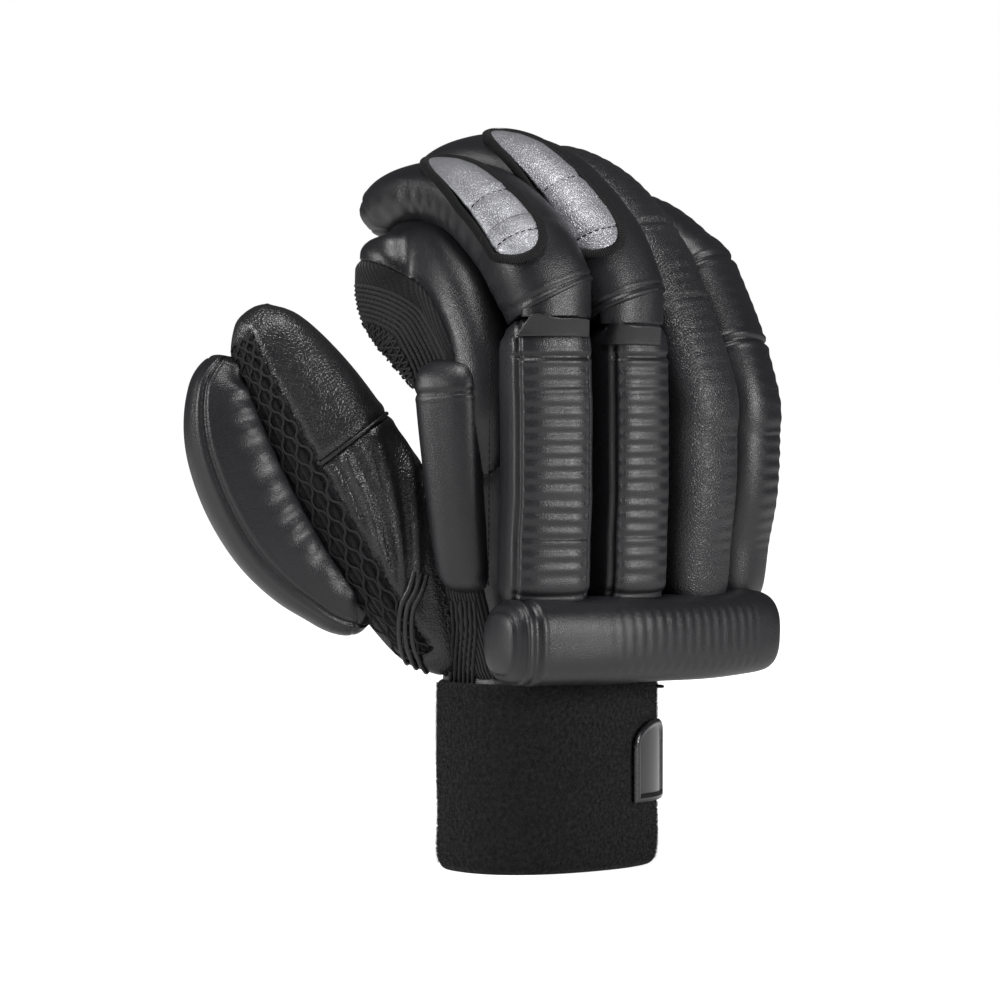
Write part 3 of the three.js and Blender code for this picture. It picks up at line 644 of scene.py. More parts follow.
holes_at = node(ribs, "ShaderNodeVectorMath", [(rin.outputs["Vector"], 0)], operation="SCALE")
ribs.links.new(math(ribs, "DIVIDE", 1.0, rin.outputs["Rib pitch"]), holes_at.inputs["Scale"])
HALF = (0.5, 0.5, 0.5)
shifted = node(ribs, "ShaderNodeVectorMath", [(holes_at.outputs[0], 0)], operation="ADD", in_1=HALF)
part = node(ribs, "ShaderNodeVectorMath", [(shifted.outputs[0], 0)], operation="FRACTION")
off = node(ribs, "ShaderNodeVectorMath", [(part.outputs[0], 0)], operation="SUBTRACT", in_1=HALF)
flat = node(ribs, "ShaderNodeVectorMath", [(off.outputs[0], 0)], operation="MULTIPLY", in_1=(1, 1, 0))
away = node(ribs, "ShaderNodeVectorMath", [(flat.outputs[0], 0)], operation="LENGTH")
hole = math(ribs, "LESS_THAN", away.outputs["Value"], rin.outputs["Hole size"])
# The Hole output only paints colour: painted shade, black in the holes where the openings are dark.
ribs.links.new(hole, rout.inputs["Hole"])
deep_hole = math(ribs, "MULTIPLY", hole, -1.4)
ribs.links.new(math(ribs, "ADD", rib_height, deep_hole), rout.inputs["Height"])
print("groups:", [g.name for g in bpy.data.node_groups])

# %% [markdown]
# ## Leathers
# Black coated leather reads as dark grey under a soft lamp: a dark base with a broad sheen. Palm,
# thumb and the ring finger's pad have a stronger pebble. The patches are the same leather with a
# silver coat. A leather could be a picture, but a pattern worked out on the object's own
# coordinates has no seams and stays sharp at any distance.

# %% Leathers
def material(name):
    made = bpy.data.materials.new(name)
    made.use_nodes = True
    return made, made.node_tree, made.node_tree.nodes["Principled BSDF"]


def blend(tree, share, dark, pale):
    """A colour between two, by a share that varies over the surface."""
    return node(tree, "ShaderNodeMix", [(share, 0)], data_type="RGBA", in_6=dark, in_7=pale).outputs[2]


def leather(name, dark, pale, cells, rough, depth=0.00005, creases=60.0, crease_depth=0.5, metallic=0.0):
    made, tree, shader = material(name)
    place = node(tree, "ShaderNodeTexCoord")
    group = node(tree, "ShaderNodeGroup", node_tree=grain)
    group.inputs["Cells per m"].default_value = cells
    group.inputs["Creases per m"].default_value = creases
    group.inputs["Crease depth"].default_value = crease_depth
    tree.links.new(place.outputs["Object"], group.inputs["Vector"])
    bump = node(tree, "ShaderNodeBump", [(group.outputs["Height"], "Height")])
    bump.inputs["Distance"].default_value = depth
    bump.inputs["Strength"].default_value = 0.7
    tree.links.new(bump.outputs[0], shader.inputs["Normal"])
    tree.links.new(blend(tree, group.outputs["Worn"], dark, pale), shader.inputs["Base Color"])
    gloss = node(tree, "ShaderNodeMapRange", [(group.outputs["Worn"], 0)])
    gloss.inputs[3].default_value = rough - 0.07
    gloss.inputs[4].default_value = rough + 0.07
    tree.links.new(gloss.outputs[0], shader.inputs["Roughness"])
    shader.inputs["Metallic"].default_value = metallic
    shader.inputs["Specular IOR Level"].default_value = 0.45
    return made


smooth_leather = leather(
    "black_coated_leather", (0.006, 0.006, 0.007, 1), (0.010, 0.010, 0.012, 1), cells=1400, rough=0.38
)
grained_leather = leather(
    "black_palm_leather",
    (0.008, 0.008, 0.009, 1),
    (0.015, 0.015, 0.016, 1),
    cells=900,
    rough=0.33,
    depth=0.00013,
    crease_depth=0.8,
)
ring_leather = leather(
    "black_pebbled_leather",
    (0.009, 0.009, 0.010, 1),
    (0.016, 0.016, 0.018, 1),
    cells=1100,
    rough=0.38,
    depth=0.00013,
)
silver_leather = leather(
    "silver_leather",
    (0.20, 0.20, 0.215, 1),
    (0.30, 0.30, 0.32, 1),
    cells=1300,
    rough=0.4,
    depth=0.00012,
    creases=70.0,
    metallic=0.6,
)
print("leathers:", [stuff.name for stuff in (smooth_leather, grained_leather, ring_leather, silver_leather)])

# %% [markdown]
# ## Knit, fleece, thread and moulding
# Knit, mesh, fleece and thread are matte, because their fibres scatter the light. The cords of the
# knit are painted a little paler than its ground, though both are the same black yarn: the ground
# between the raised cords carries painted shade, so that the holes between them read as dark. The
# mesh's ground under the net is painted near-black in the same way. The badge is glossy moulded
# rubber.

# %% Knit, fleece, thread and moulding
def knit(name, dark, rib, stitch_size, hole_size, depth):
    made, tree, shader = material(name)
    cloth = node(tree, "ShaderNodeUVMap", uv_map="cloth")
    group = node(tree, "ShaderNodeGroup", [(cloth.outputs[0], 0)], node_tree=ribs)
    group.inputs["Rib pitch"].default_value = rib
    group.inputs["Stitch pitch"].default_value = stitch_size
    group.inputs["Hole size"].default_value = hole_size
    bump = node(tree, "ShaderNodeBump", [(group.outputs["Height"], "Height")])
    bump.inputs["Distance"].default_value = depth
    tree.links.new(bump.outputs[0], shader.inputs["Normal"])
    # Base colour: painted shade, the holes are black where the openings of the knit and the mesh are dark.
    tree.links.new(blend(tree, group.outputs["Hole"], dark, (0, 0, 0, 1)), shader.inputs["Base Color"])
    shader.inputs["Roughness"].default_value = 0.9
    shader.inputs["Specular IOR Level"].default_value = 0.2
    shader.inputs["Sheen Weight"].default_value = 0.1
    return made


# Ground colour of the knit: painted shade, darker than its cords of the same yarn.
knit_cloth = knit("black_ribbed_knit", (0.004, 0.004, 0.005, 1), 0.0013, 0.0009, 0.17, 0.0004)
# Ground of the mesh: painted shade, near-black where the net over it is open.
mesh_cloth = knit("black_open_mesh", (0.003, 0.003, 0.004, 1), 0.0022, 0.0007, 0.26, 0.0004)


def plain(name, colour, rough, noise, depth, sheen=0.0, coat=0.0, shine=0.4):
    made, tree, shader = material(name)
    place = node(tree, "ShaderNodeTexCoord")
    bumps = node(tree, "ShaderNodeTexNoise", [(place.outputs["Object"], 0)], in_2=noise, in_3=5.0)
    bump = node(tree, "ShaderNodeBump", [(bumps.outputs[0], "Height")])
    bump.inputs["Distance"].default_value = depth
    tree.links.new(bump.outputs[0], shader.inputs["Normal"])
    tree.links.new(blend(tree, bumps.outputs[0], (0, 0, 0, 1), colour), shader.inputs["Base Color"])
    shader.inputs["Roughness"].default_value = rough
    shader.inputs["Sheen Weight"].default_value = sheen
    shader.inputs["Coat Weight"].default_value = coat
    shader.inputs["Specular IOR Level"].default_value = shine
    return made


fleece_cloth = plain("black_fleece", (0.028, 0.028, 0.030, 1), 1.0, 700.0, 0.0012, sheen=0.06, shine=0.08)
thread = plain("black_thread", (0.022, 0.022, 0.024, 1), 0.7, 4000.0, 0.0002, shine=0.25)
# Paler than the knit's ground of the same yarn, which carries painted shade between the cords.
knit_cord = plain("black_knit_cord", (0.040, 0.040, 0.042, 1), 0.85, 2600.0, 0.0005, sheen=0.05, shine=0.2)
tape = plain("black_tape", (0.012, 0.012, 0.013, 1), 0.75, 3000.0, 0.0001)
rubber = plain("dark_grey_moulding", (0.03, 0.03, 0.033, 1), 0.22, 900.0, 0.00002, coat=0.3)
matte = (knit_cloth, mesh_cloth, fleece_cloth, thread, knit_cord, tape)
print("matte stuffs:", [stuff.name for stuff in matte])

# %% [markdown]
# ## White paper
# The paper in the photograph is white from edge to edge. The floor gives off light of its own
# where the camera sees it, and more the farther it is away, so that it runs into the white behind.

# %% White paper
floor_paint, tree, shader = material("pale_floor")
place = node(tree, "ShaderNodeTexCoord")
speckle = node(tree, "ShaderNodeTexNoise", [(place.outputs["Object"], 0)], in_2=3.0)
tone = blend(tree, speckle.outputs[0], (0.80, 0.80, 0.80, 1), (0.84, 0.84, 0.84, 1))
tree.links.new(tone, shader.inputs["Base Color"])
shader.inputs["Roughness"].default_value = 0.7
seen = node(tree, "ShaderNodeLightPath")
NEAR, FAR = 1.45, 1.9  # m from the camera
far_off = node(
    tree, "ShaderNodeMapRange", [(seen.outputs["Ray Length"], 0)], in_1=NEAR, in_2=FAR, in_3=0.8, in_4=1.0
)
lit = math(tree, "MULTIPLY", seen.outputs["Is Camera Ray"], far_off.outputs[0])
tree.links.new(blend(tree, lit, (0, 0, 0, 1), (1, 1, 1, 1)), shader.inputs["Emission Color"])
shader.inputs["Emission Strength"].default_value = 1.0
floor.data.materials.append(floor_paint)
print("floor:", floor_paint.name)

# %% [markdown]
# ## Making a piece known
# Each piece takes the place of its solid, rides on the glove and names the finish it has. A name
# gets its stuff added, so that a list of pieces reads like a maker's parts list.

# %% Making a piece known
SLOTS = {
    smooth_leather: "smooth_leather",
    grained_leather: "grained_leather",
    ring_leather: "grained_leather",
    silver_leather: "silver_leather",
    knit_cloth: "knit",
    mesh_cloth: "mesh",
    fleece_cloth: "fleece",
    thread: "binding",
    knit_cord: "knit",
    tape: "binding",
    rubber: "moulding",
}
for stuff in SLOTS:
    stuff.diffuse_color = (0.03, 0.03, 0.03, 1)


def piece(name, mesh, stuff, *replaced):
    stuff_name = SLOTS[stuff].split("_")[-1]
    if stuff_name not in name:
        name = f"{name}_{stuff_name}"
    thing = bpy.data.objects.new(name, mesh)
    mesh.materials.append(stuff)
    bpy.context.collection.objects.link(thing)
    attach(thing, "root")
    if replaced:
        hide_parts(*replaced)
    print(f"{name}: {len(mesh.vertices)} points, {len(mesh.polygons)} faces")
    return thing


print("finishes:", sorted(set(SLOTS.values())))

# %% [markdown]
# ## Growing threads on a line
# A seam is drawn as a bare line, and a geometry tree grows the threads on it. Every such tree needs
# the same sockets and the same ending, and every line becomes a mesh in the same way, so these
# steps are made once.

# %% Growing threads on a line
def new_tree(name, *inputs):
    """An empty tree that takes and gives a mesh; inputs are pairs of a title and a kind."""
    group = bpy.data.node_groups.new(name, "GeometryNodeTree")
    group.interface.new_socket("Geometry", in_out="INPUT", socket_type="NodeSocketGeometry")
    for title, kind in inputs:
        group.interface.new_socket(title, in_out="INPUT", socket_type="NodeSocket" + kind)
    group.interface.new_socket("Geometry", in_out="OUTPUT", socket_type="NodeSocketGeometry")
    return group, group.nodes.new("NodeGroupInput"), group.nodes.new("NodeGroupOutput")


def end_tree(group, start, stop, grown):
    """Makes what a tree has grown into a real mesh and paints it."""
    real = node(group, "GeometryNodeRealizeInstances", [(grown, 0)])
    painted = node(
        group, "GeometryNodeSetMaterial", [(real.outputs[0], 0), (start.outputs["Material"], "Material")]
    )
    group.links.new(painted.outputs[0], stop.inputs[0])


def line_mesh(name, lines):
    """A mesh of bare edges along lines of points in mm."""
    points, edges = [], []
    for line in lines:
        start = len(points)
        points += (line / 1000 + FOOT).tolist()
        edges += [(start + k, start + k + 1) for k in range(len(line) - 1)]
    mesh = bpy.data.meshes.new(name)
    mesh.from_pydata(points, edges, [])
    return mesh


def grown_on(mesh, tree, given):
    """The mesh that a tree grows on another mesh, with the given values."""
    holder = bpy.data.objects.new(mesh.name, mesh)
    bpy.context.collection.objects.link(holder)
    modifier = holder.modifiers.new(tree.name, "NODES")
    modifier.node_group = tree
    for item in tree.interface.items_tree:
        if item.in_out == "INPUT" and item.name in given:
            modifier[item.identifier] = given[item.name]
    holder.update_tag()
    bpy.context.view_layer.update()
    real = bpy.data.meshes.new_from_object(holder.evaluated_get(bpy.context.evaluated_depsgraph_get()))
    bpy.data.objects.remove(holder)
    real.materials.clear()
    return real


print("geometry trees so far:", sum(group.type == "GEOMETRY" for group in bpy.data.node_groups))

# %% [markdown]
# ## Stitches
# A machine stitch is a short thread that dives in at both ends. The tree lays such threads along a
# seam line at an even pitch, each a slim rounded grain turned along the line.

# %% Stitches
def stitch_tree():
    group, start, stop = new_tree(
        "stitch_row",
        ("Pitch", "Float"),
        ("Length", "Float"),
        ("Thickness", "Float"),
        ("Material", "Material"),
    )
    line = node(group, "GeometryNodeMeshToCurve", [(start.outputs["Geometry"], "Mesh")])
    even = node(
        group,
        "GeometryNodeCurveToPoints",
        [(line.outputs[0], "Curve"), (start.outputs["Pitch"], "Length")],
        mode="LENGTH",
    )
    ball = node(group, "GeometryNodeMeshUVSphere")
    ball.inputs["Segments"].default_value = 8
    ball.inputs["Rings"].default_value = 6
    ball.inputs["Radius"].default_value = 0.5
    thickness, length = start.outputs["Thickness"], start.outputs["Length"]
    size = node(group, "ShaderNodeCombineXYZ", [(thickness, 0), (thickness, 1), (length, 2)])
    facing = node(
        group, "FunctionNodeAlignRotationToVector", [(even.outputs["Tangent"], "Vector")], axis="Z"
    )
    sown = node(
        group,
        "GeometryNodeInstanceOnPoints",
        [
            (even.outputs["Points"], "Points"),
            (ball.outputs["Mesh"], "Instance"),
            (facing.outputs[0], "Rotation"),
            (size.outputs[0], "Scale"),
        ],
    )
    end_tree(group, start, stop, sown.outputs[0])
    return group


STITCHES = stitch_tree()


def sew(name, lines, pitch, length, thickness):
    """Threads along seam lines: lines are arrays of points in mm, pitch and sizes in mm."""
    given = dict(Pitch=pitch / 1000, Length=length / 1000, Thickness=thickness / 1000, Material=thread)
    real = grown_on(line_mesh(name + "_line", lines), STITCHES, given)
    real.shade_smooth()
    return piece(name, real, thread)


print("stitch tree inputs:", [i.name for i in STITCHES.interface.items_tree if i.in_out == "INPUT"])

# %% [markdown]
# ## The hand form
# A glove is sewn over a hand form. Here the form is made of lofts: the hand pocket, the thumb, the
# web and four fingers. The index finger starts lower than the others and narrows to its foot,
# because its leather runs down the side of the hand.

# %% The hand form
SHELL_RING = outline(72, 2.4)
POCKET_RING = outline(120, 2.8)
INDEX_FOOT = [5.0, 3.0, -34.0]  # mm from the index finger's first section
_, rows = HAND_ROWS
rise = np.linspace(-0.02, 1, 60)
centre, wide, deep, _ = hand_at(rise, np.interp(rise, rows[:, 0], rows[:, 1]))
forms = {
    "hand": surface(level(centre, wide, deep), POCKET_RING, 0.5, 6.0)[0],
    "thumb": surface(thumb_line(60), SHELL_RING, 3, 3)[0],
    "web": surface(web_line(40), SHELL_RING, 2, 4)[0],
}
for finger in FINGERS:
    line = finger_line(finger, 70)
    if finger == "index":
        drop = np.linspace(1, 0, 12)[:-1]
        lower = {key: np.repeat(value[:1], len(drop), 0) for key, value in line.items()}
        lower["centre"] = lower["centre"] + drop[:, None] * INDEX_FOOT
        for key in ("wide", "deep"):
            lower[key] = lower[key] * (1 - 0.25 * drop**1.5)
        line = {key: np.concatenate([lower[key], line[key]]) for key in line}
    forms[finger] = surface(line, SHELL_RING, 2, 5)[0]
print("forms:", {key: grid.shape[:2] for key, grid in forms.items()})

# %% [markdown]
# ## One leather skin over the form
# The lofts are joined by a voxel remesh, and smoothing blends the creases between them as stretched
# leather does. The joined mesh becomes arrays of points and triangles, ready for cutting.

# %% One leather skin over the form
VOXEL = 1.5  # mm
all_points, all_faces, shift = [], [], 0
trees = {}
for key, grid in forms.items():
    points, faces = closed_grid(grid)
    trees[key] = tree_of(points, faces)
    all_points.append(points)
    all_faces += [[n + shift for n in face] for face in faces]
    shift += len(points)
mesh = bpy.data.meshes.new("hand_form")
mesh.from_pydata((np.concatenate(all_points) / 1000).tolist(), [], all_faces)
form = bpy.data.objects.new("hand_form", mesh)
bpy.context.collection.objects.link(form)
remesh = form.modifiers.new("union", "REMESH")
remesh.mode = "VOXEL"
remesh.voxel_size = VOXEL / 1000
relax = form.modifiers.new("relax", "SMOOTH")
relax.factor = 0.5
relax.iterations = 14
bpy.context.view_layer.update()
real = form.evaluated_get(bpy.context.evaluated_depsgraph_get()).to_mesh()
real.calc_loop_triangles()
skin = np.empty(len(real.vertices) * 3)
real.vertices.foreach_get("co", skin)
skin = skin.reshape(-1, 3) * 1000
skin_tris = np.empty(len(real.loop_triangles) * 3, int)
real.loop_triangles.foreach_get("vertices", skin_tris)
skin_tris = skin_tris.reshape(-1, 3)
bpy.data.objects.remove(form)
print("skin:", len(skin), "points,", len(skin_tris), "triangles")

# %% [markdown]
# ## Which form each point belongs to
# A seam between finger and hand runs where a point is as deep in the one form as in the other. So
# each point of the skin gets its normal and its signed distance to every form.

# %% Which form each point belongs to
def point_normals(points, tris):
    a, b, c = (points[tris[:, k]] for k in range(3))
    face = np.cross(b - a, c - a)
    total = np.zeros_like(points)
    for k in range(3):
        np.add.at(total, tris[:, k], face)
    return total / np.maximum(np.linalg.norm(total, axis=1, keepdims=True), 1e-12)


skin_normals = point_normals(skin, skin_tris)
if (skin_normals * (skin - skin.mean(0))).sum() < 0:
    skin_tris = skin_tris[:, ::-1]
    skin_normals = -skin_normals


def depth_in(key, points, reach=60):
    """Signed distance from each point to a form, negative inside."""
    found = np.full(len(points), float(reach))
    for n, p in enumerate(points):
        place, normal, _, distance = trees[key].find_nearest(p, reach)
        if place is not None:
            found[n] = distance if (Vector(p) - place).dot(normal) > 0 else -distance
    return found


depth = {key: depth_in(key, skin) for key in forms}
print("points within 1 mm of a form:", {key: int((np.abs(value) < 1).sum()) for key, value in depth.items()})

# %% [markdown]
# ## Cutting the panels
# A field is below zero inside a panel and above it outside, so its zero line is the seam. The
# triangles that the line crosses are cut along it, which leaves clean, true edges. The rim that a
# cut leaves is found again by its edges, because each of them belongs to one triangle only.

# %% Cutting the panels
def keep_where(points, tris, field):
    """The part of a triangle mesh where the field is below zero; points carry any columns."""
    inside = field < 0
    count = inside[tris].sum(1)
    kept = [tris[count == 3]]
    extra, made, total = [], {}, len(points)

    def crossing(a, b):
        nonlocal total
        key = (a, b) if a < b else (b, a)
        if key not in made:
            t = field[a] / (field[a] - field[b])
            extra.append(points[a] + (points[b] - points[a]) * t)
            made[key] = total
            total += 1
        return made[key]

    new = []
    for tri in tris[(count == 1) | (count == 2)]:
        state = inside[tri]
        k = int(np.argmax(state)) if state.sum() == 1 else int(np.argmin(state))
        a, b, c = tri[k], tri[(k + 1) % 3], tri[(k + 2) % 3]
        ab, ac = crossing(a, b), crossing(a, c)
        if state.sum() == 1:
            new.append((a, ab, ac))
        else:
            new += [(ab, b, c), (ab, c, ac)]
    if new:
        kept.append(np.array(new, int))
    tris = np.concatenate(kept)
    data = np.concatenate([points, extra]) if extra else points
    used = np.unique(tris)
    index = np.full(len(data), -1)
    index[used] = np.arange(len(used))
    return data[used], index[tris]


def rim_of(tris):
    """Edges that belong to one triangle, in their triangle's order."""
    edges = np.concatenate([tris[:, [0, 1]], tris[:, [1, 2]], tris[:, [2, 0]]])
    key = np.sort(edges, 1)
    _, first, count = np.unique(key, axis=0, return_index=True, return_counts=True)
    return edges[first[count == 1]]


def rim_loops(rim):
    follow = {a: b for a, b in rim}
    loops = []
    while follow:
        start = next(iter(follow))
        loop = [start]
        while loop[-1] in follow:
            loop.append(follow.pop(loop[-1]))
        loops.append(np.array(loop))
    return sorted(loops, key=len, reverse=True)


def away_from_rim(points, rim):
    """Distance in mm from each point to the nearest point of the rim."""
    knots = KDTree(len(rim))
    for n, p in enumerate(points[rim[:, 0]]):
        knots.insert(p, n)
    knots.balance()
    return np.array([knots.find(p)[2] for p in points])


def thickened(outer, inner, tris):
    """Points and faces of a panel between two skins, closed along its rim."""
    rim, count = rim_of(tris), len(outer)
    walls = [(b, a, a + count) for a, b in rim] + [(b, a + count, b + count) for a, b in rim]
    faces = np.concatenate([tris, tris[:, ::-1] + count, np.array(walls, int).reshape(-1, 3)])
    return np.concatenate([outer, inner]), faces


print("rim of the whole skin:", len(rim_of(skin_tris)), "edges")

# %% [markdown]
# ## Where the hand, thumb and index panels lie
# Each zone is a field over the skin. The hand, the thumb and the index finger end where another
# form is nearer. The wrist gusset is a block cut out of the hand, and the thumb's welt is a plane.

# %% Where the hand, thumb and index panels lie
columns = np.concatenate([skin, skin_normals] + [depth[key][:, None] for key in forms], 1)
COLUMN = {key: 6 + n for n, key in enumerate(forms)}


def others_than(data, *keys):
    return np.min([data[:, COLUMN[key]] for key in COLUMN if key not in keys], axis=0)


def own(data, *keys):
    return np.min([data[:, COLUMN[key]] for key in keys], axis=0)


def cut(data, tris, *fields):
    for field in fields:
        if len(tris):
            data, tris = keep_where(data, tris, field(data))
    return data, tris


def hand_zone(d):
    return own(d, "hand") - others_than(d, "hand")


def thumb_zone(d):
    return own(d, "thumb") - others_than(d, "thumb")


def index_zone(d):
    return own(d, "index", "web") - others_than(d, "index", "web")


def gusset_zone(d):
    x, y, z = d[:, 0], d[:, 1], d[:, 2]
    g = WRIST_GUSSET
    return np.max([x - g["right"], g["front"] - y, y - g["back"], g["foot"] - z, z - g["top"]], axis=0)


cap_normal = np.array([0, 0, 1.0])
side = side_of(np.array(THUMB["heading"]))
slope = -np.radians(THUMB_CAP["slope"])
cap_normal = cap_normal * np.cos(slope) + np.cross(side, cap_normal) * np.sin(slope)
cap_place = np.array([THUMB_CAP["x"], THUMB_CAP["y"], THUMB_CAP["z"]])


def above_welt(d):
    return -((d[:, :3] - cap_place) @ cap_normal)


print("points on the thumb:", int((thumb_zone(columns) < 0).sum()))

# %% [markdown]
# ## Where the thumb's net lies
# The strip of open net runs up the front of the thumb. It follows the thumb's own line, so each
# point is first given its share along the thumb and its parts across and outward.

# %% Where the thumb's net lies
thumb_fine = thumb_line(200)
thumb_knots = KDTree(201)
for n, p in enumerate(thumb_fine["centre"]):
    thumb_knots.insert(p, n)
thumb_knots.balance()


def thumb_parts(d):
    """Each point's share along the thumb and its parts across and outward, in halves of the size."""
    near = np.array([thumb_knots.find(p)[1] for p in d[:, :3]])
    away = d[:, :3] - thumb_fine["centre"][near]
    across = (away * thumb_fine["across"][near]).sum(1) / (thumb_fine["wide"][near] / 2)
    outward = (away * thumb_fine["out"][near]).sum(1) / (thumb_fine["deep"][near] / 2)
    return near / 200, across, outward


def mesh_zone(d):
    share, across, outward = thumb_parts(d)
    strip = np.abs(outward / 2 - THUMB_MESH["at"]) - THUMB_MESH["wide"] / 2
    return np.max([strip * 30, across * 15, (0.12 - share) * 60, (share - 0.9) * 60], axis=0)


print("points under the net:", int(((mesh_zone(columns) < 0) & (thumb_zone(columns) < 0)).sum()))

# %% [markdown]
# ## Where the knit web lies
# The knit between index and thumb has a curved border that shows plainly from the front. It was
# read as places in the camera's view. Behind, where it isn't seen, the knit ends where a larger
# copy of the web's form does.

# %% Where the knit web lies
GUSSET_BORDER = np.array(
    [
        (-70, 204),
        (-61.5, 203.3),
        (-53.5, 201),
        (-46.3, 197.4),
        (-41.3, 193.2),
        (-37, 186),
        (-33.7, 179.3),
        (-32, 173.7),
        (-31.3, 169),
        (-31, 150),
    ]
)


def seen_flat(points):
    """Places in the camera's view: mm right of the cuff's middle and mm up."""
    return np.stack([points @ np.array(view_right), points[:, 2]], 1)


def past_border(flat):
    """How far each place lies past the gusset's border, in mm; below zero inside the gusset."""
    line = spline(GUSSET_BORDER, np.linspace(0, 1, 200))
    along = unit(np.gradient(line, axis=0))
    near = np.argmin(((flat[:, None, :] - line[None, :, :]) ** 2).sum(2), axis=1)
    away = flat - line[near]
    return away[:, 1] * along[near, 0] - away[:, 0] * along[near, 1]


web_edge = web_line(60)
for key in ("wide", "deep"):
    web_edge[key] = web_edge[key] * WEB["edge"]
points, faces = closed_grid(surface(web_edge, SHELL_RING, 2, 4)[0])
trees["web_edge"] = tree_of(points, faces)


def web_zone(d):
    front = (d[:, 3:6] @ np.array(view_back)) * 12 + 8
    behind = np.minimum(depth_in("web_edge", d[:, :3]), -front)
    return np.maximum(past_border(seen_flat(d[:, :3])), behind)


print("the web's border is", len(GUSSET_BORDER), "places long")

# %% [markdown]
# ## The list of panels
# A panel is what is left inside all of its fields. The list also gives its stuff and the solids
# that it takes the place of.

# %% The list of panels
def minus(field):
    return lambda d: -field(d)


PANELS = {
    "back_panel": (
        [hand_zone, minus(gusset_zone), lambda d: d[:, 1] - BACK_SEAM],
        smooth_leather,
        ("back_panel", "side_strip", "wrist_panel"),
    ),
    "palm_leather": (
        [hand_zone, minus(gusset_zone), lambda d: BACK_SEAM + GAP - d[:, 1]],
        grained_leather,
        ("palm_leather", "palm_heel"),
    ),
    "wrist_gusset": ([hand_zone, gusset_zone], knit_cloth, ("wrist_gusset",)),
    "thumb_mesh": ([thumb_zone, mesh_zone], mesh_cloth, ("thumb_mesh",)),
    "thumb_cap": ([thumb_zone, minus(mesh_zone), above_welt], grained_leather, ("thumb_cap",)),
    "thumb_leather": ([thumb_zone, minus(mesh_zone), minus(above_welt)], grained_leather, ("thumb_leather",)),
    "index_gusset": ([index_zone, web_zone], knit_cloth, ("index_gusset",)),
    "index_stall": ([index_zone, minus(web_zone)], smooth_leather, ("index_stall",)),
}
for finger in ("middle", "ring", "little"):
    zone = lambda d, f=finger: own(d, f) - others_than(d, f)
    PANELS[f"{finger}_stall"] = ([zone], smooth_leather, (f"{finger}_stall",))
print("panels:", list(PANELS))

# %% [markdown]
# ## Folds of the palm
# Where the thumb pulls on the palm, the leather lies in long soft folds from the thumb's root to
# the wrist. Each is a ridge between two hollows, drawn as a line in the camera's view.

# %% Folds of the palm
FOLDS = (
    ((-50.3, 155), (-45.3, 133.3), (-43.3, 103.3), (-46, 76.7)),
    ((-57.7, 148.3), (-50.7, 123.3), (-48, 96.7), (-49.3, 76.7)),
    ((-69.3, 143.3), (-58.7, 120), (-51.7, 95), (-48, 74)),
)


def folds(points, normals):
    """How far the folds lift each point, in mm."""
    flat = seen_flat(points)
    facing = step_up(normals @ np.array(view_back), 0.0, 0.45)
    total = 0
    for line in FOLDS:
        spots = spline(np.array(line), np.linspace(0, 1, 60))
        away = np.hypot(flat[:, :1] - spots[None, :, 0], flat[:, 1:] - spots[None, :, 1]).min(1)
        total = total + 1.3 * bell(away, 0, 1.3) - 0.8 * bell(away, 3.1, 1.5)
    return total * facing


def wrinkles(name, points, normals):
    """How far each point of a panel stands up or down from the form, in mm."""
    lift = drift(points, 26, 3) * 0.5
    if name in ("palm_leather", "thumb_leather"):
        lift = lift + folds(points, normals) + drift(points, 13, 8) * 0.35
    return lift


print("folds:", len(FOLDS))

# %% [markdown]
# ## Making the panels
# Each panel gets its thickness inward, and its edge is rolled in, as a turned seam allowance is. A
# knit also gets cloth coordinates, which run along its ribs.

# %% Making the panels
KNIT_SLANT = np.radians(52)
EDGE_TUCK, SOFT_TUCK = 0.9, 0.45  # mm that an edge is rolled in
SEAM_LIFT = 0.6  # mm from a panel's edge to its seam line


def cloth_places(name, data):
    """Cloth coordinates of a knitted panel in metres: along its ribs and across them."""
    y, z = data[:, 1], data[:, 2]
    if name == "thumb_mesh":
        share, _, outward = thumb_parts(data)
        return np.stack([share * 110, outward * 22], 1) / 1000
    if name == "wrist_gusset":
        return np.stack([z, y], 1) / 1000
    c, s = np.cos(KNIT_SLANT), np.sin(KNIT_SLANT)
    return np.stack([y * c + z * s, y * s - z * c], 1) / 1000


seam_paths = {}
for name, (fields, stuff, replaced) in PANELS.items():
    data, tris = cut(columns, skin_tris, *fields)
    points, normals = data[:, :3], data[:, 3:6]
    rim = rim_of(tris)
    loops = [loop for loop in rim_loops(rim) if len(loop) > 12]
    to_edge = away_from_rim(points, rim)
    tuck = SOFT_TUCK if name in ("back_panel", "index_stall") else EDGE_TUCK
    lift = wrinkles(name, points, normals) * (1 - bell(to_edge, 0, 3)) - tuck * bell(to_edge, 0, 1.4)
    lift = lift + 0.28 * tuck * bell(to_edge, 3.2, 1.6)
    outer_skin = points + normals * lift[:, None]
    inner_skin = points + normals * (np.minimum(lift, 0) - WALL)[:, None]
    both, faces = thickened(outer_skin, inner_skin, tris)
    uv = None
    if stuff is knit_cloth or stuff is mesh_cloth:
        uv = np.tile(cloth_places(name, data), (2, 1))
    panel = piece(name, as_mesh(name, both, faces, uv), stuff, *replaced)
    a, b, c = (points[tris[:, k]] for k in range(3))
    seam_paths[name] = [outer_skin[loop] + normals[loop] * SEAM_LIFT for loop in loops]

# %% [markdown]
# ## Foam pads
# A pad is foam in a leather cover: a top panel, plain side walls, and a seam between them that
# pulls in. The cover is quilted in narrow channels across the bars. Each pad is a fine loft with
# these made as small moves along its normal, so that they stay crisp in a low light.

# %% Foam pads
PER_MM = 1.5


def ribbed(place, pitch, depth):
    return -depth * np.cos(2 * np.pi * place / pitch) / 2


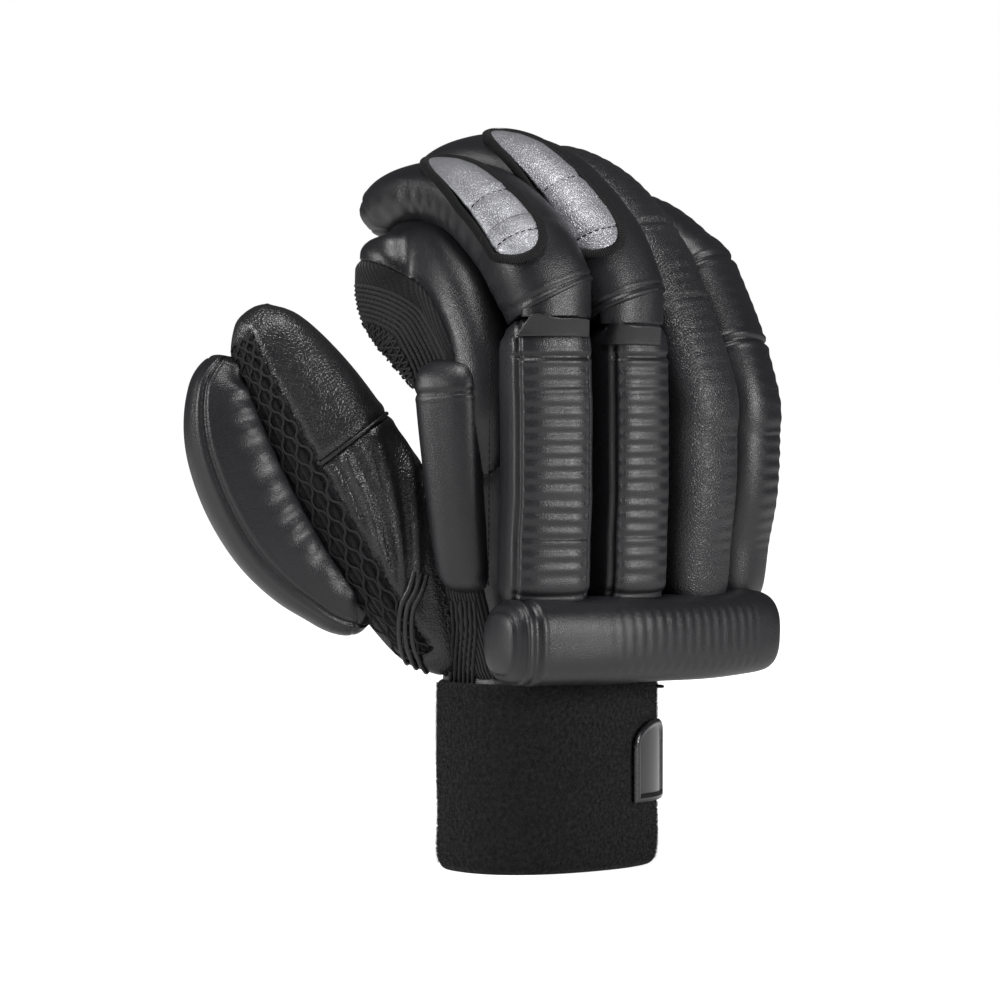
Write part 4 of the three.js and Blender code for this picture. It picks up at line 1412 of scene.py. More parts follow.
def pad_piece(name, points, lift, stuff, *replaced, fill=0.7):
    verts, faces = closed_grid(points + normals_of(points) * lift[..., None])
    mesh = bpy.data.meshes.new(name)
    mesh.from_pydata((verts / 1000 + FOOT).tolist(), [], faces)
    mesh.shade_smooth()
    made = piece(name, mesh, stuff, *replaced)
    return made


def evenly(line, step):
    """The same line with its sections a step apart, so that ribs are as fine everywhere."""
    place = length_along(line["centre"])
    want = np.linspace(0, place[-1], int(place[-1] / step) + 2)
    made = {}
    for key, value in line.items():
        if value.ndim == 1:
            made[key] = np.interp(want, place, value)
        else:
            made[key] = read_at(want, place, value)
            if key != "centre":
                made[key] = unit(made[key])
    return made, want[-1]


def pad_form(line, square, taper=0.0, domes=(2.0, 2.0)):
    """A fine pad: its points, their places along in mm, and their parts across and outward."""
    line, length = evenly(line, 1 / PER_MM)
    wide, thick = line["wide"].max(), line["deep"].max()
    ring = outline(int((wide + thick) * 1.8 * PER_MM), square, wide / thick, taper)
    points, place = surface(line, ring, *domes, cap_rows=9)
    over = ring[0][None, :] + 0 * place[:, None]
    rise = ring[1][None, :] + 0 * place[:, None]
    return points, place[:, None] + 0 * over, over, rise, length


def groove(value, middle, width, depth):
    """A sewn-down line with its two small rolled shoulders."""
    shoulders = bell(np.abs(value - middle), width * 2.4, width)
    return -depth * bell(value, middle, width) + depth * 0.3 * shoulders


print("points on a pad, to the mm:", PER_MM)

# %% [markdown]
# ## Lines of the pads
# A finger's pad follows the ridge of the finger. The feet of the two finger pads shift towards the
# middle of the hand. The bars lie straight on its back. The small bar, the thumb's pad and the
# roll across the wrist have lines of their own.

# %% Lines of the pads
def ridge(name):
    """The line up the back of a finger that its pad is built on: points, sides and outs."""
    finger, bar = FINGERS[name], BARS[name]
    side = side_of(np.array(float(finger["roll"])))
    lead_out = np.cross(side, [0, 0, 1.0])
    points, sides, outs = [], [], []
    lead = BAR["top"] - BAR["foot"]
    for share in (0, 0.2, 0.4, 0.6, 0.78):
        height = BAR["foot"] + lead * share
        p = on_back(np.array(float(bar["x"])), np.array(max(BAR["flat_from"], height)))
        p[2] = height
        points.append(p)
        sides.append(side)
        outs.append(lead_out)
    line = finger_line(name, 14)
    for k in range(15):
        if line["centre"][k][2] > HAND["knuckles"] + 2 * WALL:
            points.append(line["centre"][k] + line["out"][k] * line["deep"][k] / 2)
            sides.append(line["across"][k])
            outs.append(line["out"][k])
    return np.array(points), np.array(sides), np.array(outs)


def pad_up_finger(name, low, rows_table, size, wide):
    """Sections along a finger's ridge, from a height to near the fingertip."""
    points, sides, outs = ridge(name)
    fine = np.linspace(0, 1, 401)
    start = fine[np.argmax(spline(points, fine)[:, 2] >= low)]

    def line(count):
        rows = smooth(rows_table, count)
        t = start + (PAD_END - start) * rows["at"]
        thick = rows["thick"] * size["thick"]
        lift = thick / 2 - size["sink"] * rows["sink"]
        centre = spline(points, t) + unit(spline(outs, t)) * lift[:, None]
        centre = centre + unit(spline(sides, t)) * (rows["shift"] * PAD_SHIFT[name])[:, None]
        return framed(centre, spline(sides, t), rows["wide"] * wide, thick)

    return line


def straight_bar(name):
    """Sections of a straight bar up the back of the hand."""
    bar = BARS[name]
    side = side_of(np.array(float(FINGERS[name]["roll"])))
    out = np.cross(side, [0, 0, 1.0])

    def line(count):
        rows = smooth(BAR_ROWS, count)
        thick = rows["thick"] * BAR["thick"]
        height = BAR["foot"] + (BAR["top"] - BAR["foot"]) * rows["at"]
        centre = on_back(bar["x"] + 0 * height, np.clip(height, BAR["flat_from"], BAR["flat_to"]))
        centre[:, 2] = height
        centre = centre + out * (thick / 2 - BAR["sink"] * rows["sink"])[:, None]
        return framed(centre, np.ones((count + 1, 1)) * side, rows["wide"] * bar["wide"], thick)

    return line


def side_bar_line(count):
    rows = smooth(SIDE_BAR_ROWS, count)
    side = side_of(np.array(float(SIDE_BAR["turn"])))
    out = np.cross(side, [0, 0, 1.0])
    thick = rows["thick"] * SIDE_BAR["thick"]
    height = SIDE_BAR["foot"] + (SIDE_BAR["top"] - SIDE_BAR["foot"]) * rows["at"]
    root = upright(SIDE_BAR["x"] + SIDE_BAR["lean"] * (1 - rows["at"]), SIDE_BAR["y"], height)
    centre = root + out * (thick / 2 - SIDE_BAR["sink"])[:, None]
    return framed(centre, np.ones((count + 1, 1)) * side, rows["wide"] * SIDE_BAR["wide"], thick)


def thumb_pad_line(count):
    rows = smooth(THUMB_PAD_ROWS, count)
    share = THUMB_PAD["start"] + (THUMB_PAD["stop"] - THUMB_PAD["start"]) * rows["at"]
    thick = rows["thick"] * THUMB_PAD["thick"]
    deep = spline(thumb_fine["deep"][::10, None], share)[:, 0]
    out = unit(spline(thumb_fine["out"][::10], share))
    sink = THUMB_PAD["sink"] - (deep + thick) / 2
    centre = spline(thumb_fine["centre"][::10], share) + out * sink[:, None]
    sides = spline(thumb_fine["across"][::10], share)
    return framed(centre, sides, rows["wide"] * THUMB_PAD["wide"], thick)


def roll_line(count):
    rows = smooth(ROLL_ROWS, count)
    centre = np.stack(
        [
            ROLL["left"] + (ROLL["right"] - ROLL["left"]) * rows["at"],
            ROLL["y"] + ROLL["bow"] * rows["bow"],
            ROLL["middle"] + 0 * rows["at"],
        ],
        -1,
    )
    sides = np.ones((count + 1, 1)) * [0.0, 0, -1]
    return framed(centre, sides, rows["size"] * ROLL["high"], rows["size"] * ROLL["thick"])


print("wrist roll, mm long:", round(float(np.ptp(roll_line(8)["centre"][:, 0]))))

# %% [markdown]
# ## Bars on the back of the hand
# The cover of a bar is stitched down in narrow channels, so it stands up in ribs between them. A
# groove runs along each side, where the top panel is sewn to the side wall.

# %% Bars on the back of the hand
RIB_PITCH = 4.2
back_bars = {}
for name in ("index", "middle"):
    points, place, over, rise, length = pad_form(straight_bar(name)(600), 3, 0.14)
    top = step_up(rise, 0.3, 0.8)
    channel = (1 - step_up(np.abs(over), 0.66, 0.74)) * step_up(place, 9, 12)
    channel = channel * (1 - step_up(place, length - 12, length - 9))
    lift = ribbed(place, RIB_PITCH, 0.42) * top * channel
    lift += groove(np.abs(over), 0.79, 0.035, 0.9) * step_up(rise, 0.35, 0.6)
    lift += (groove(place, length - 8, 0.7, 0.9) + groove(place, 8, 0.7, 0.8)) * top
    lift += 0.35 * drift(points, 44, 11 + len(name))
    back_bars[name] = pad_piece(f"{name}_back_bar", points, lift, smooth_leather, f"{name}_back_bar")

# %% [markdown]
# ## Pads on the index and middle fingers
# These are fuller than the bars and plain on top, where the patches are sewn. Their covers are
# gathered low on both sides, which leaves small puckers there.

# %% Pads on the index and middle fingers
finger_pads = {}
for name in ("index", "middle"):
    line = pad_up_finger(name, FINGER_PAD["foot"], FINGER_PAD_ROWS, FINGER_PAD, FINGER_PAD["wide"])
    points, place, over, rise, length = pad_form(line(600), 2.5, 0.0, (1.0, 3.0))
    low_side = bell(rise, -0.35, 0.35)
    lift = 0.2 * np.sin(place / 1.1 + 2 * np.sin(place / 9)) * low_side * np.abs(over) ** 2
    lift += groove(place, 3.4, 0.6, 0.6) * step_up(rise, -0.2, 0.3)
    lift += groove(place, length - 5, 0.7, 0.6)
    lift += 0.5 * drift(points, 44, 21 + len(name))
    finger_pads[name] = pad_piece(
        f"{name}_finger_pad", points, lift, smooth_leather, f"{name}_finger_pad", fill=0.8
    )

# %% [markdown]
# ## Long pads of the ring and little fingers
# One pad runs from the wrist over the knuckle to the fingertip. Two seams cross it near the
# knuckle, where it has to bend. Its ribs fade in and out.

# %% Long pads of the ring and little fingers
LONG_SEAMS = {"ring": (187, 210), "little": (173, 200)}  # mm up
for name in ("ring", "little"):
    size = dict(BAR, wide=BARS[name]["wide"])
    line = pad_up_finger(name, BAR["foot"], LONG_PAD_ROWS, size, BARS[name]["wide"])
    points, place, over, rise, length = pad_form(line(900), 2.3, 0.0, (3.0, 2.0))
    top = step_up(rise, 0.1, 0.6)
    centre_height = points.mean(1)[:, 2]
    rising = np.arange(len(centre_height)) <= int(np.argmax(centre_height))
    lift = 0.5 * drift(points, 46, 31 + len(name))
    for height in LONG_SEAMS[name]:
        row = int(np.argmin(np.abs(np.where(rising, centre_height, 1e3) - height)))
        lift += groove(place, place[row, 0], 0.8, 1.1)
    channel = step_up(over, -0.7, -0.3) * (1 - step_up(over, 0.5, 0.9)) * step_up(place, 12, 30)
    lift += ribbed(place, RIB_PITCH, 0.4) * top * channel * (0.6 + 0.4 * drift(points, 30, 35))
    stuff = ring_leather if name == "ring" else smooth_leather
    pad_piece(f"{name}_pad", points, lift, stuff, f"{name}_pad", fill=0.75)

# %% [markdown]
# ## Side bar, thumb pad and wrist roll
# The side bar is plain and a little uneven. The thumb's pad has small puckers and a seam along one
# side. The roll's ribs are faint and only on its front, and a deep seam closes its end on the
# thumb side.

# %% Side bar, thumb pad and wrist roll
points, place, over, rise, length = pad_form(side_bar_line(400), 2.9)
lift = 0.5 * drift(points, 34, 41) + groove(place, length - 4, 0.7, 0.5) * step_up(rise, -0.2, 0.3)
pad_piece("side_bar", points, lift, smooth_leather, "side_bar", fill=0.6)

points, place, over, rise, length = pad_form(thumb_pad_line(500), 2.5, 0.0, (3.0, 3.0))
puckers = np.sin(place / 1.5 + np.sin(place / 7)) * bell(rise, 0.55, 0.25)
lift = 0.9 * drift(points, 44, 51) + 0.35 * puckers
lift += groove(rise, -0.45, 0.06, 0.9) * step_up(-over, 0.2, 0.6)
pad_piece("thumb_pad", points, lift, smooth_leather, "thumb_pad", fill=0.8)

points, place, over, rise, length = pad_form(roll_line(500), ROLL["square"])
front = step_up(rise, 0.3, 0.8) * (1 - step_up(np.abs(over), 0.66, 0.76))
front = front * step_up(place, 30, 45) * (1 - step_up(place, length - 16, length - 9))
lift = ribbed(place, RIB_PITCH, 0.16) * front
lift += groove(place, 9, 0.8, 1.1) * step_up(rise, -0.6, -0.1) + 0.8 * drift(points, 46, 61)
pad_piece("wrist_roll", points, lift, smooth_leather, "wrist_roll", fill=0.85)

# %% [markdown]
# ## Cords
# Overlock threads, the net, the knit's ribs, piping and welts are all round cords along a line. One
# tree sweeps a small circle along each of them.

# %% Cords
def thread_tree():
    group, start, stop = new_tree("arched_threads", ("Radius", "Float"), ("Material", "Material"))
    line = node(group, "GeometryNodeMeshToCurve", [(start.outputs["Geometry"], "Mesh")])
    profile = node(group, "GeometryNodeCurvePrimitiveCircle", [(start.outputs["Radius"], "Radius")])
    profile.inputs["Resolution"].default_value = 6
    tube = node(
        group, "GeometryNodeCurveToMesh", [(line.outputs[0], "Curve"), (profile.outputs[0], "Profile Curve")]
    )
    tube.inputs["Fill Caps"].default_value = True
    end_tree(group, start, stop, tube.outputs[0])
    return group


THREADS = thread_tree()


def threads(name, lines, radius, stuff, *replaced):
    """Tubes of thread or cord along lines of points in mm."""
    given = dict(Radius=radius / 1000, Material=stuff)
    real = grown_on(line_mesh(name + "_line", lines), THREADS, given)
    real.shade_smooth()
    return piece(name, real, stuff, *replaced)


print("cord tree inputs:", [i.name for i in THREADS.interface.items_tree if i.in_out == "INPUT"])

# %% [markdown]
# ## Thin pieces laid on a pad
# A patch, an apron or a lip is a thin slab: a grid of points for its face and the same points a
# little lower for its back. Another helper finds places on the outer face of a finger pad.

# %% Thin pieces laid on a pad
def grid_tris(rows, columns_count):
    i, j = np.meshgrid(np.arange(rows - 1), np.arange(columns_count - 1), indexing="ij")
    a = (i * columns_count + j).ravel()
    b, c, d = a + 1, a + columns_count + 1, a + columns_count
    return np.concatenate([np.stack([a, b, c], 1), np.stack([a, c, d], 1)])


def grid_of(first, second):
    """All pairs of two lists of values, as two flat arrays."""
    return (values.ravel() for values in np.meshgrid(first, second, indexing="ij"))


def slab(name, points, normals, tris, thickness, stuff, *replaced):
    """A thin piece with its face at the points and its back a thickness below."""
    a, b, c = (points[tris[:, k]] for k in range(3))
    if (np.cross(b - a, c - a) * normals[tris[:, 0]]).sum() < 0:
        tris = tris[:, ::-1]
    both, faces = thickened(points, points - normals * thickness, tris)
    return piece(name, as_mesh(name, both, faces), stuff, *replaced)


def pad_top(line, share, aside, lift):
    """A place on the outer face of a finger pad: share along its sections, mm aside, mm above it."""
    last = len(line["centre"]) - 1
    i = np.clip(share * last, 0, last)
    rows = np.arange(last + 1)
    across, out = (unit(read_at(i, rows, line[key])) for key in ("across", "out"))
    half, deep = (np.interp(i, rows, line[key]) / 2 for key in ("wide", "deep"))
    over = np.clip(aside / half, -0.96, 0.96)
    rise = (1 - np.abs(over) ** 2.5) ** 0.4
    slope = deep / half * np.sign(over) * np.abs(over) ** 1.5 * rise**-1.5
    normal = unit(out + across * slope[..., None])
    place = read_at(i, rows, line["centre"]) + across * aside[..., None] + out * (rise * deep)[..., None]
    return place + normal * lift[..., None], normal


print("triangles of a grid of 3 by 4:", len(grid_tris(3, 4)))

# %% [markdown]
# ## Silver patches with bound edges
# Each patch is a thin piece laid on the pad, wide at the knuckle and pointed to the fingertip. A
# tape folded over its raw edge is overlocked: short threads arch across it side by side. Two rows
# of stitches cross the patch and hold it down.

# %% Silver patches with bound edges
PATCH_LIFT = 1.5
PATCH_BACK = 1.2  # how far the back of a patch lies below its face
PATCH_ROWS_AT = (0.3, 0.62)  # shares at which stitches cross it
TAPE_HALF, TAPE_RISE = 1.35, 0.55
ARCH_HALF, ARCH_RISE, ARCH_SLANT = 1.5, 0.72, 0.35
BINDING_KNOTS = 240


def bound_edge(name, band, normals):
    """A folded tape along a closed line, and the threads that arch across it."""
    step = length_along(np.vstack([band, band[:1]]))
    want = np.linspace(0, step[-1], BINDING_KNOTS + 1)[:-1]
    band = read_at(want, step, np.vstack([band, band[:1]]))
    normals = unit(read_at(want, step, np.vstack([normals, normals[:1]])))
    tangent = unit(np.roll(band, -1, 0) - np.roll(band, 1, 0))
    beside = np.cross(tangent, normals)
    phi = np.linspace(0, 2 * np.pi, 17)[:-1]
    tape_grid = (
        band[:, None, :]
        + beside[:, None, :] * (TAPE_HALF * np.cos(phi))[None, :, None]
        + normals[:, None, :] * (TAPE_RISE * np.sin(phi))[None, :, None]
    )
    quads = ring_quads(len(band), len(phi), closed=True)
    mesh = as_mesh(f"{name}_binding", tape_grid.reshape(-1, 3), quads[:, ::-1])
    piece(f"{name}_binding", mesh, tape, f"{name}_binding")
    arch = np.linspace(0.12, np.pi - 0.12, 7)[:, None]
    swing, top = np.cos(arch), np.sin(arch)
    lines = [
        band[k] + (beside[k] * ARCH_HALF + tangent[k] * ARCH_SLANT) * swing + normals[k] * ARCH_RISE * top
        for k in range(len(band))
    ]
    threads(f"{name}_overlock", lines, 0.17, thread)


for name in ("index", "middle"):
    line = pad_up_finger(name, FINGER_PAD["foot"], FINGER_PAD_ROWS, FINGER_PAD, FINGER_PAD["wide"])(400)
    shape = smooth(PATCH_ROWS, 400)
    shares = np.linspace(0, 1, 401)

    def on_patch(u, v, lift, wider=0.0):
        """Places on the patch by the share along it and the part across it, -1 to 1."""
        corner = (1 - np.abs(2 * u - 1) ** 4) ** (1 / 3)
        half = (np.interp(u, shares, shape["wide"]) * PATCH["wide"] / 2 + wider) * corner
        at = PATCH["start"] + (PATCH["stop"] - PATCH["start"]) * np.interp(u, shares, shape["at"])
        return pad_top(line, at, PATCH["to_middle"] + v * half, lift)

    u, v = grid_of((1 - np.cos(np.pi * np.linspace(0.01, 0.99, 90))) / 2, np.linspace(-1, 1, 41))
    lines_across = sum(groove(u, place, 0.012, 0.5) for place in PATCH_ROWS_AT)
    lift = PATCH_LIFT + 0.2 * (1 - v**2) + lines_across
    points, _ = on_patch(u, v, lift)
    lift = lift + 0.2 * drift(points, 12, 71)
    points, normals = on_patch(u, v, lift)
    slab(f"{name}_patch", points, normals, grid_tris(90, 41), PATCH_BACK, silver_leather, f"{name}_patch")

    turn = np.linspace(0, 2 * np.pi, BINDING_KNOTS + 1)[:-1]
    u = 0.5 - 0.5 * np.cos(turn) * (1 - 0.006)
    v = np.sign(np.sin(turn)) * np.abs(np.sin(turn)) ** 0.22
    bound_edge(name, *on_patch(u, v, PATCH_LIFT + 0 * turn, wider=1.0))

    for number, place in enumerate(PATCH_ROWS_AT):
        v = np.linspace(-0.85, 0.85, 24)
        row, _ = on_patch(place + 0 * v, v, PATCH_LIFT - 0.15 + 0 * v)
        sew(f"{name}_patch_stitches_{number}", [row], 2.0, 1.6, 0.45)

# %% [markdown]
# ## Leather lips under the finger pads
# The lower end of each finger pad is closed by a leather apron that drops to the bar below, and a
# folded lip is sewn over it. The lip's top edge stands free. The two keep the ball off the joint
# between pad and bar. The lip is laid where rays from the camera meet the pieces behind it, so
# that it lies in front of them all.

# %% Leather lips under the finger pads
LIPS = {
    "index": dict(left=-11.0, right=13.0, low=184.0, high=191.0, slant=5.0),
    "middle": dict(left=17.0, right=36.7, low=181.9, high=189.0, slant=2.5),
}
APRON_THICK, LIP_THICK = 1.8, 1.5
LIP_CLEAR, LIP_FLARE, LIP_FALL = 0.5, 2.6, 1.6


def tree_with(*things):
    """One search tree over several finished pieces."""
    points, faces = [], []
    for thing in things:
        start = len(points)
        points += ((np.array([v.co for v in thing.data.vertices]) - FOOT) * 1000).tolist()
        faces += [[start + k for k in p.vertices] for p in thing.data.polygons]
    return BVHTree.FromPolygons(points, faces)


def view_start(right, height):
    """A place far in front of the glove, at mm right and mm up in the camera's view."""
    return view_right * right + view_back * 300 + Vector((0, 0, height - view_back.z * 300))


for name, lip in LIPS.items():
    line = pad_up_finger(name, FINGER_PAD["foot"], FINGER_PAD_ROWS, FINGER_PAD, FINGER_PAD["wide"])(400)
    half = line["wide"][12] / 2
    aside, drop = grid_of(np.linspace(-0.93, 0.94, 60) * half, np.linspace(0, 1, 18))
    points, normals = pad_top(line, 0.035 + 0 * aside, aside, -0.2 + 0 * aside)
    foot = lip["low"] - 0.4
    points[:, 2] -= np.maximum(points[:, 2] - foot, 0) * drop
    apron = slab(f"{name}_apron", points, normals, grid_tris(60, 18), APRON_THICK, smooth_leather)

    tree = tree_with(apron, finger_pads[name], back_bars[name])
    across = np.linspace(lip["left"], lip["right"], 50)
    heights = np.linspace(lip["low"] - 1, lip["high"], 8)
    near = []
    for right in across:
        hits = [tree.ray_cast(view_start(right, z), -view_back)[3] for z in heights]
        near.append(min([hit for hit in hits if hit is not None], default=np.nan))
    near = np.array(near)
    seen = ~np.isnan(near)
    bend = np.polyval(np.polyfit(across[seen], near[seen], 3), across)
    bend = bend - np.max(bend[seen] - near[seen])
    s, w = grid_of(np.linspace(0, 1, 50), np.linspace(0, 1, 12))
    right = lip["left"] + (lip["right"] - lip["left"]) * s + lip["slant"] * w * (1 - s) ** 2
    height = lip["low"] + (lip["high"] - lip["low"]) * w - LIP_FALL * w * s + 0.3 * np.sin(9 * s) * w
    lift = LIP_CLEAR + LIP_FLARE * w**1.5 + np.interp(s, np.linspace(0, 1, 50), -bend)
    back = np.array(view_back)
    points = np.array([view_start(r, h) for r, h in zip(right, height)]) + back * lift[:, None]
    faced = np.broadcast_to(back, points.shape)
    slab(f"{name}_lip", points, faced, grid_tris(50, 12), LIP_THICK, smooth_leather)
    print(name, "lip", round(float(lip["right"] - lip["left"]), 1), "mm long")

# %% [markdown]
# ## Open net on the thumb
# The strip along the front of the thumb is a coarse net over a ground painted near-black, as
# painted shade seen through the net. Its threads zigzag up the strip side by side and meet at
# their turns, which leaves six-sided holes between them.

# %% Open net on the thumb
skin_tree = tree_of(skin, skin_tris.tolist())


def on_skin(points, lift):
    """Each point moved to the hand form's surface and lifted off it."""
    moved = []
    for p in points:
        place, normal, _, _ = skin_tree.find_nearest(p)
        moved.append(np.array(place) + np.array(normal) * lift)
    return np.array(moved)


def on_thumb(share, outward):
    """Places on the front of the thumb form, by the share along it and the part outward."""
    n = np.clip(share, 0, 1) * 200
    at = lambda key: read_at(n, np.arange(201), thumb_fine[key])
    wide, deep = (np.interp(n, np.arange(201), thumb_fine[key]) / 2 for key in ("wide", "deep"))
    across = -((1 - np.abs(outward) ** 2.4) ** (1 / 2.4))
    return at("centre") + at("across") * (across * wide)[:, None] + at("out") * (outward * deep)[:, None]


def zigzag(place):
    """A wave from -1 to 1 with narrow turns; it turns at every whole number."""
    phase = np.cos(np.pi * place)
    return np.sign(phase) * np.abs(phase) ** 0.6


NET_LINES, NET_TURNS = 5, 26
NET_RADIUS, NET_LIFT = 0.42, 0.45
net = []
share = np.linspace(0.13, 0.88, NET_TURNS * 8 + 1)
for k in range(NET_LINES):
    wave = zigzag(np.linspace(0, NET_TURNS, len(share)) + k % 2)
    middle = 2 * THUMB_MESH["at"]
    outward = middle + THUMB_MESH["wide"] * ((k + 0.5) / NET_LINES * 2 - 1 + wave * 0.85 / NET_LINES)
    net.append(on_skin(on_thumb(share, outward), NET_LIFT))
threads("thumb_net", net, NET_RADIUS, thread)

# %% [markdown]
# ## Ribs and eyelets of the knit
# The knitted gussets are ribbed along their border. Beside the ribs runs a band of eyelets, where
# the knitter passes stitches over, and finer ribs follow. The ribs are cords laid on the knit, and
# zigzag threads leave the eyelets between them.

# %% Ribs and eyelets of the knit
def seen_on_skin(flat, lift, *keys):
    """Places in the camera's view moved onto the named forms, without those that miss them."""
    made = []
    for right, height in flat:
        place, normal, _, _ = skin_tree.ray_cast(view_start(right, height), -view_back)
        if place is not None and normal.dot(view_back) > 0.05:
            if min(trees[key].find_nearest(place)[3] for key in keys) < 2.0:
                made.append(np.array(place) + np.array(normal) * lift)
    return np.array(made)


def offset_line(line, distance):
    """A flat line moved to its right-hand side by a distance in mm."""
    along = unit(np.gradient(line, axis=0))
    return line + np.stack([along[:, 1], -along[:, 0]], 1) * np.reshape(distance, (-1, 1))


def stretches(flags):
    """Runs of neighbouring places whose flags are the same."""
    return np.split(np.arange(len(flags)), np.where(np.diff(flags.astype(int)) != 0)[0] + 1)


def unbroken(line, gap):
    """The parts of a line between steps longer than a gap."""
    return np.split(line, np.where(np.linalg.norm(np.diff(line, axis=0), axis=1) > gap)[0] + 1)


KNIT = dict(start=0.9, rib=1.5, pause=0.6, eyelets=2.0, wave=0.85, turn=1.5, fine=1.15)  # mm
EYELET_LINES = 4
SHORTEST = 6  # points of a cord worth laying


def knit_lines(border, wide_ribs, fine_ribs):
    """Flat lines beside a border: wide ribs, zigzags round a band of eyelets, fine ribs."""
    level_line = np.zeros(len(border))
    wide, zigzags, fine = [], [], []
    distance = KNIT["start"]
    for _ in range(wide_ribs):
        wide.append(offset_line(border, distance + level_line))
        distance += KNIT["rib"]
    distance += KNIT["pause"]
    length = length_along(border)
    for k in range(EYELET_LINES):
        wave = zigzag(length / KNIT["turn"] + k % 2)
        zigzags.append(offset_line(border, distance + KNIT["wave"] * wave))
        distance += KNIT["eyelets"]
    for _ in range(fine_ribs):
        fine.append(offset_line(border, distance + level_line))
        distance += KNIT["fine"]
    return wide, zigzags, fine


def knit_bands(name, border, wide_ribs, fine_ribs, inside, *keys):
    """Ribs along a border, a band of eyelets and then finer ribs, laid on the named forms."""
    wide, zigzags, fine = knit_lines(border, wide_ribs, fine_ribs)
    for band, lines, radius, lift in (
        ("ribs", wide, 0.66, 0.0),
        ("eyelets", zigzags, 0.42, 0.3),
        ("fine_ribs", fine, 0.48, -0.1),
    ):
        laid = []
        for line in lines:
            kept = inside(line)
            for part in stretches(kept):
                if kept[part[0]] and len(part) > SHORTEST:
                    on = seen_on_skin(line[part], lift, *keys)
                    if len(on) > SHORTEST:
                        laid += [run for run in unbroken(on, 3) if len(run) > SHORTEST]
        if laid:
            threads(f"{name}_{band}", laid, radius, knit_cord)


border = spline(GUSSET_BORDER, np.linspace(0.02, 0.93, 260))
in_gusset = lambda line: (past_border(line) < -0.7) & (line[:, 1] < 204) & (line[:, 1] > 158)
knit_bands("index_gusset", border, 8, 12, in_gusset, "web", "index")

WRIST_BORDER = np.array(
    [(-23.7, 101), (-23.3, 95), (-23, 88), (-23.7, 80), (-24, 72), (-23.3, 66), (-23, 63)]
)
border = spline(WRIST_BORDER, np.linspace(0, 1, 200))
in_wrist = lambda line: (line[:, 1] > 64) & (line[:, 1] < 98) & (line[:, 0] > -46)
knit_bands("wrist_gusset", border, 6, 5, in_wrist, "hand")

# %% [markdown]
# ## Piping beside the wrist
# Where the thumb piece joins the wrist, three cords are sewn in side by side under the leather and
# stand up as curved ridges. They let the leather fold there without cracking.

# %% Piping beside the wrist
PIPING = np.array(
    [
        (-40.1, 106.6),
        (-41.9, 100.5),
        (-44.4, 95.4),
        (-45.1, 89.6),
        (-44.6, 83.5),
        (-42.5, 77.7),
        (-39.5, 72.6),
        (-36.4, 67.8),
    ]
)
PIPING_PITCH, PIPING_RADIUS = 2.1, 0.95
flat = spline(PIPING, np.linspace(0, 1, 120))
lines = [seen_on_skin(offset_line(flat, PIPING_PITCH * k), 0.1, "hand", "thumb") for k in range(3)]
lines = [max(unbroken(line, 2), key=len) for line in lines]
threads("wrist_piping", lines, PIPING_RADIUS, smooth_leather)
print("piping:", [len(line) for line in lines])

# %% [markdown]
# ## Stitched strip
# Beside the index bar a strip of the same leather runs from the pad down to the roll, and a line of
# topstitching holds its edge.

# %% Stitched strip
STRIP = np.array([(-19.2, 178), (-19.4, 160), (-19.6, 130), (-19.8, 104)])
strip_line = spline(STRIP, np.linspace(0, 1, 160))
sew("strip_stitches", [seen_on_skin(strip_line, 0.15, "hand", "index")], 2.4, 1.9, 0.42)

# %% [markdown]
# ## Cuff
# The cuff is thick fleece, folded over at both rims so that its edges are round. Its profile runs
# up the outside, over the top, down the inside and back under the foot, and it is swept round the
# wrist's rounded section.

# %% Cuff
wall = CUFF["wall"]
radius = wall / 2
profile = []
for z in np.linspace(radius, CUFF["height"] - radius, 44):
    profile.append((0, z))
for a in np.linspace(0, np.pi, 9)[1:-1]:
    profile.append((-radius + radius * np.cos(a), CUFF["height"] - radius + radius * np.sin(a)))
for z in np.linspace(CUFF["height"] - radius, radius, 44):
    profile.append((-wall, z))
for a in np.linspace(np.pi, 2 * np.pi, 9)[1:-1]:
    profile.append((-radius + radius * np.cos(a), radius + radius * np.sin(a)))
profile = np.array(profile)
around = 260
over, rise = outline(around, CUFF["square"], CUFF["width"] / CUFF["depth"])
out_x, out_y = CUFF["width"] / 2 + profile[:, 0], CUFF["depth"] / 2 + profile[:, 0]
foot_tuck = 0.9 * bell(profile[:, 1], 0, 3.5)
points = np.stack(
    [
        (out_x - foot_tuck)[:, None] * over[None, :],
        -(out_y - foot_tuck)[:, None] * rise[None, :],
        profile[:, 1][:, None] + 0 * over[None, :],
    ],
    -1,
)
away = points * [1, 1, 0]
soft = 0.5 * drift(points, 26, 81) * step_up(profile[:, 1], 1, 12)[:, None]
points = points + unit(away) * (soft - 0.4)[..., None]
quads = ring_quads(len(profile), around, closed=True)
verts = points.reshape(-1, 3)
outer_quad = quads[: around * 40]
p, q, r = (verts[outer_quad[:, k]] for k in range(3))
if (np.cross(q - p, r - p) * (p * [1, 1, 0])).sum() < 0:
    quads = quads[:, ::-1]
cuff = piece("cuff", as_mesh("cuff", verts, quads), fleece_cloth, "cuff")

# %% [markdown]
# ## Fleece pile
# Fleece is brushed until loose fibres stand up from it. The tree strews short, thin hairs over the
# cuff's outer face and leans each its own way. They soften the cuff's outline, which a bump in the
# finish couldn't do.

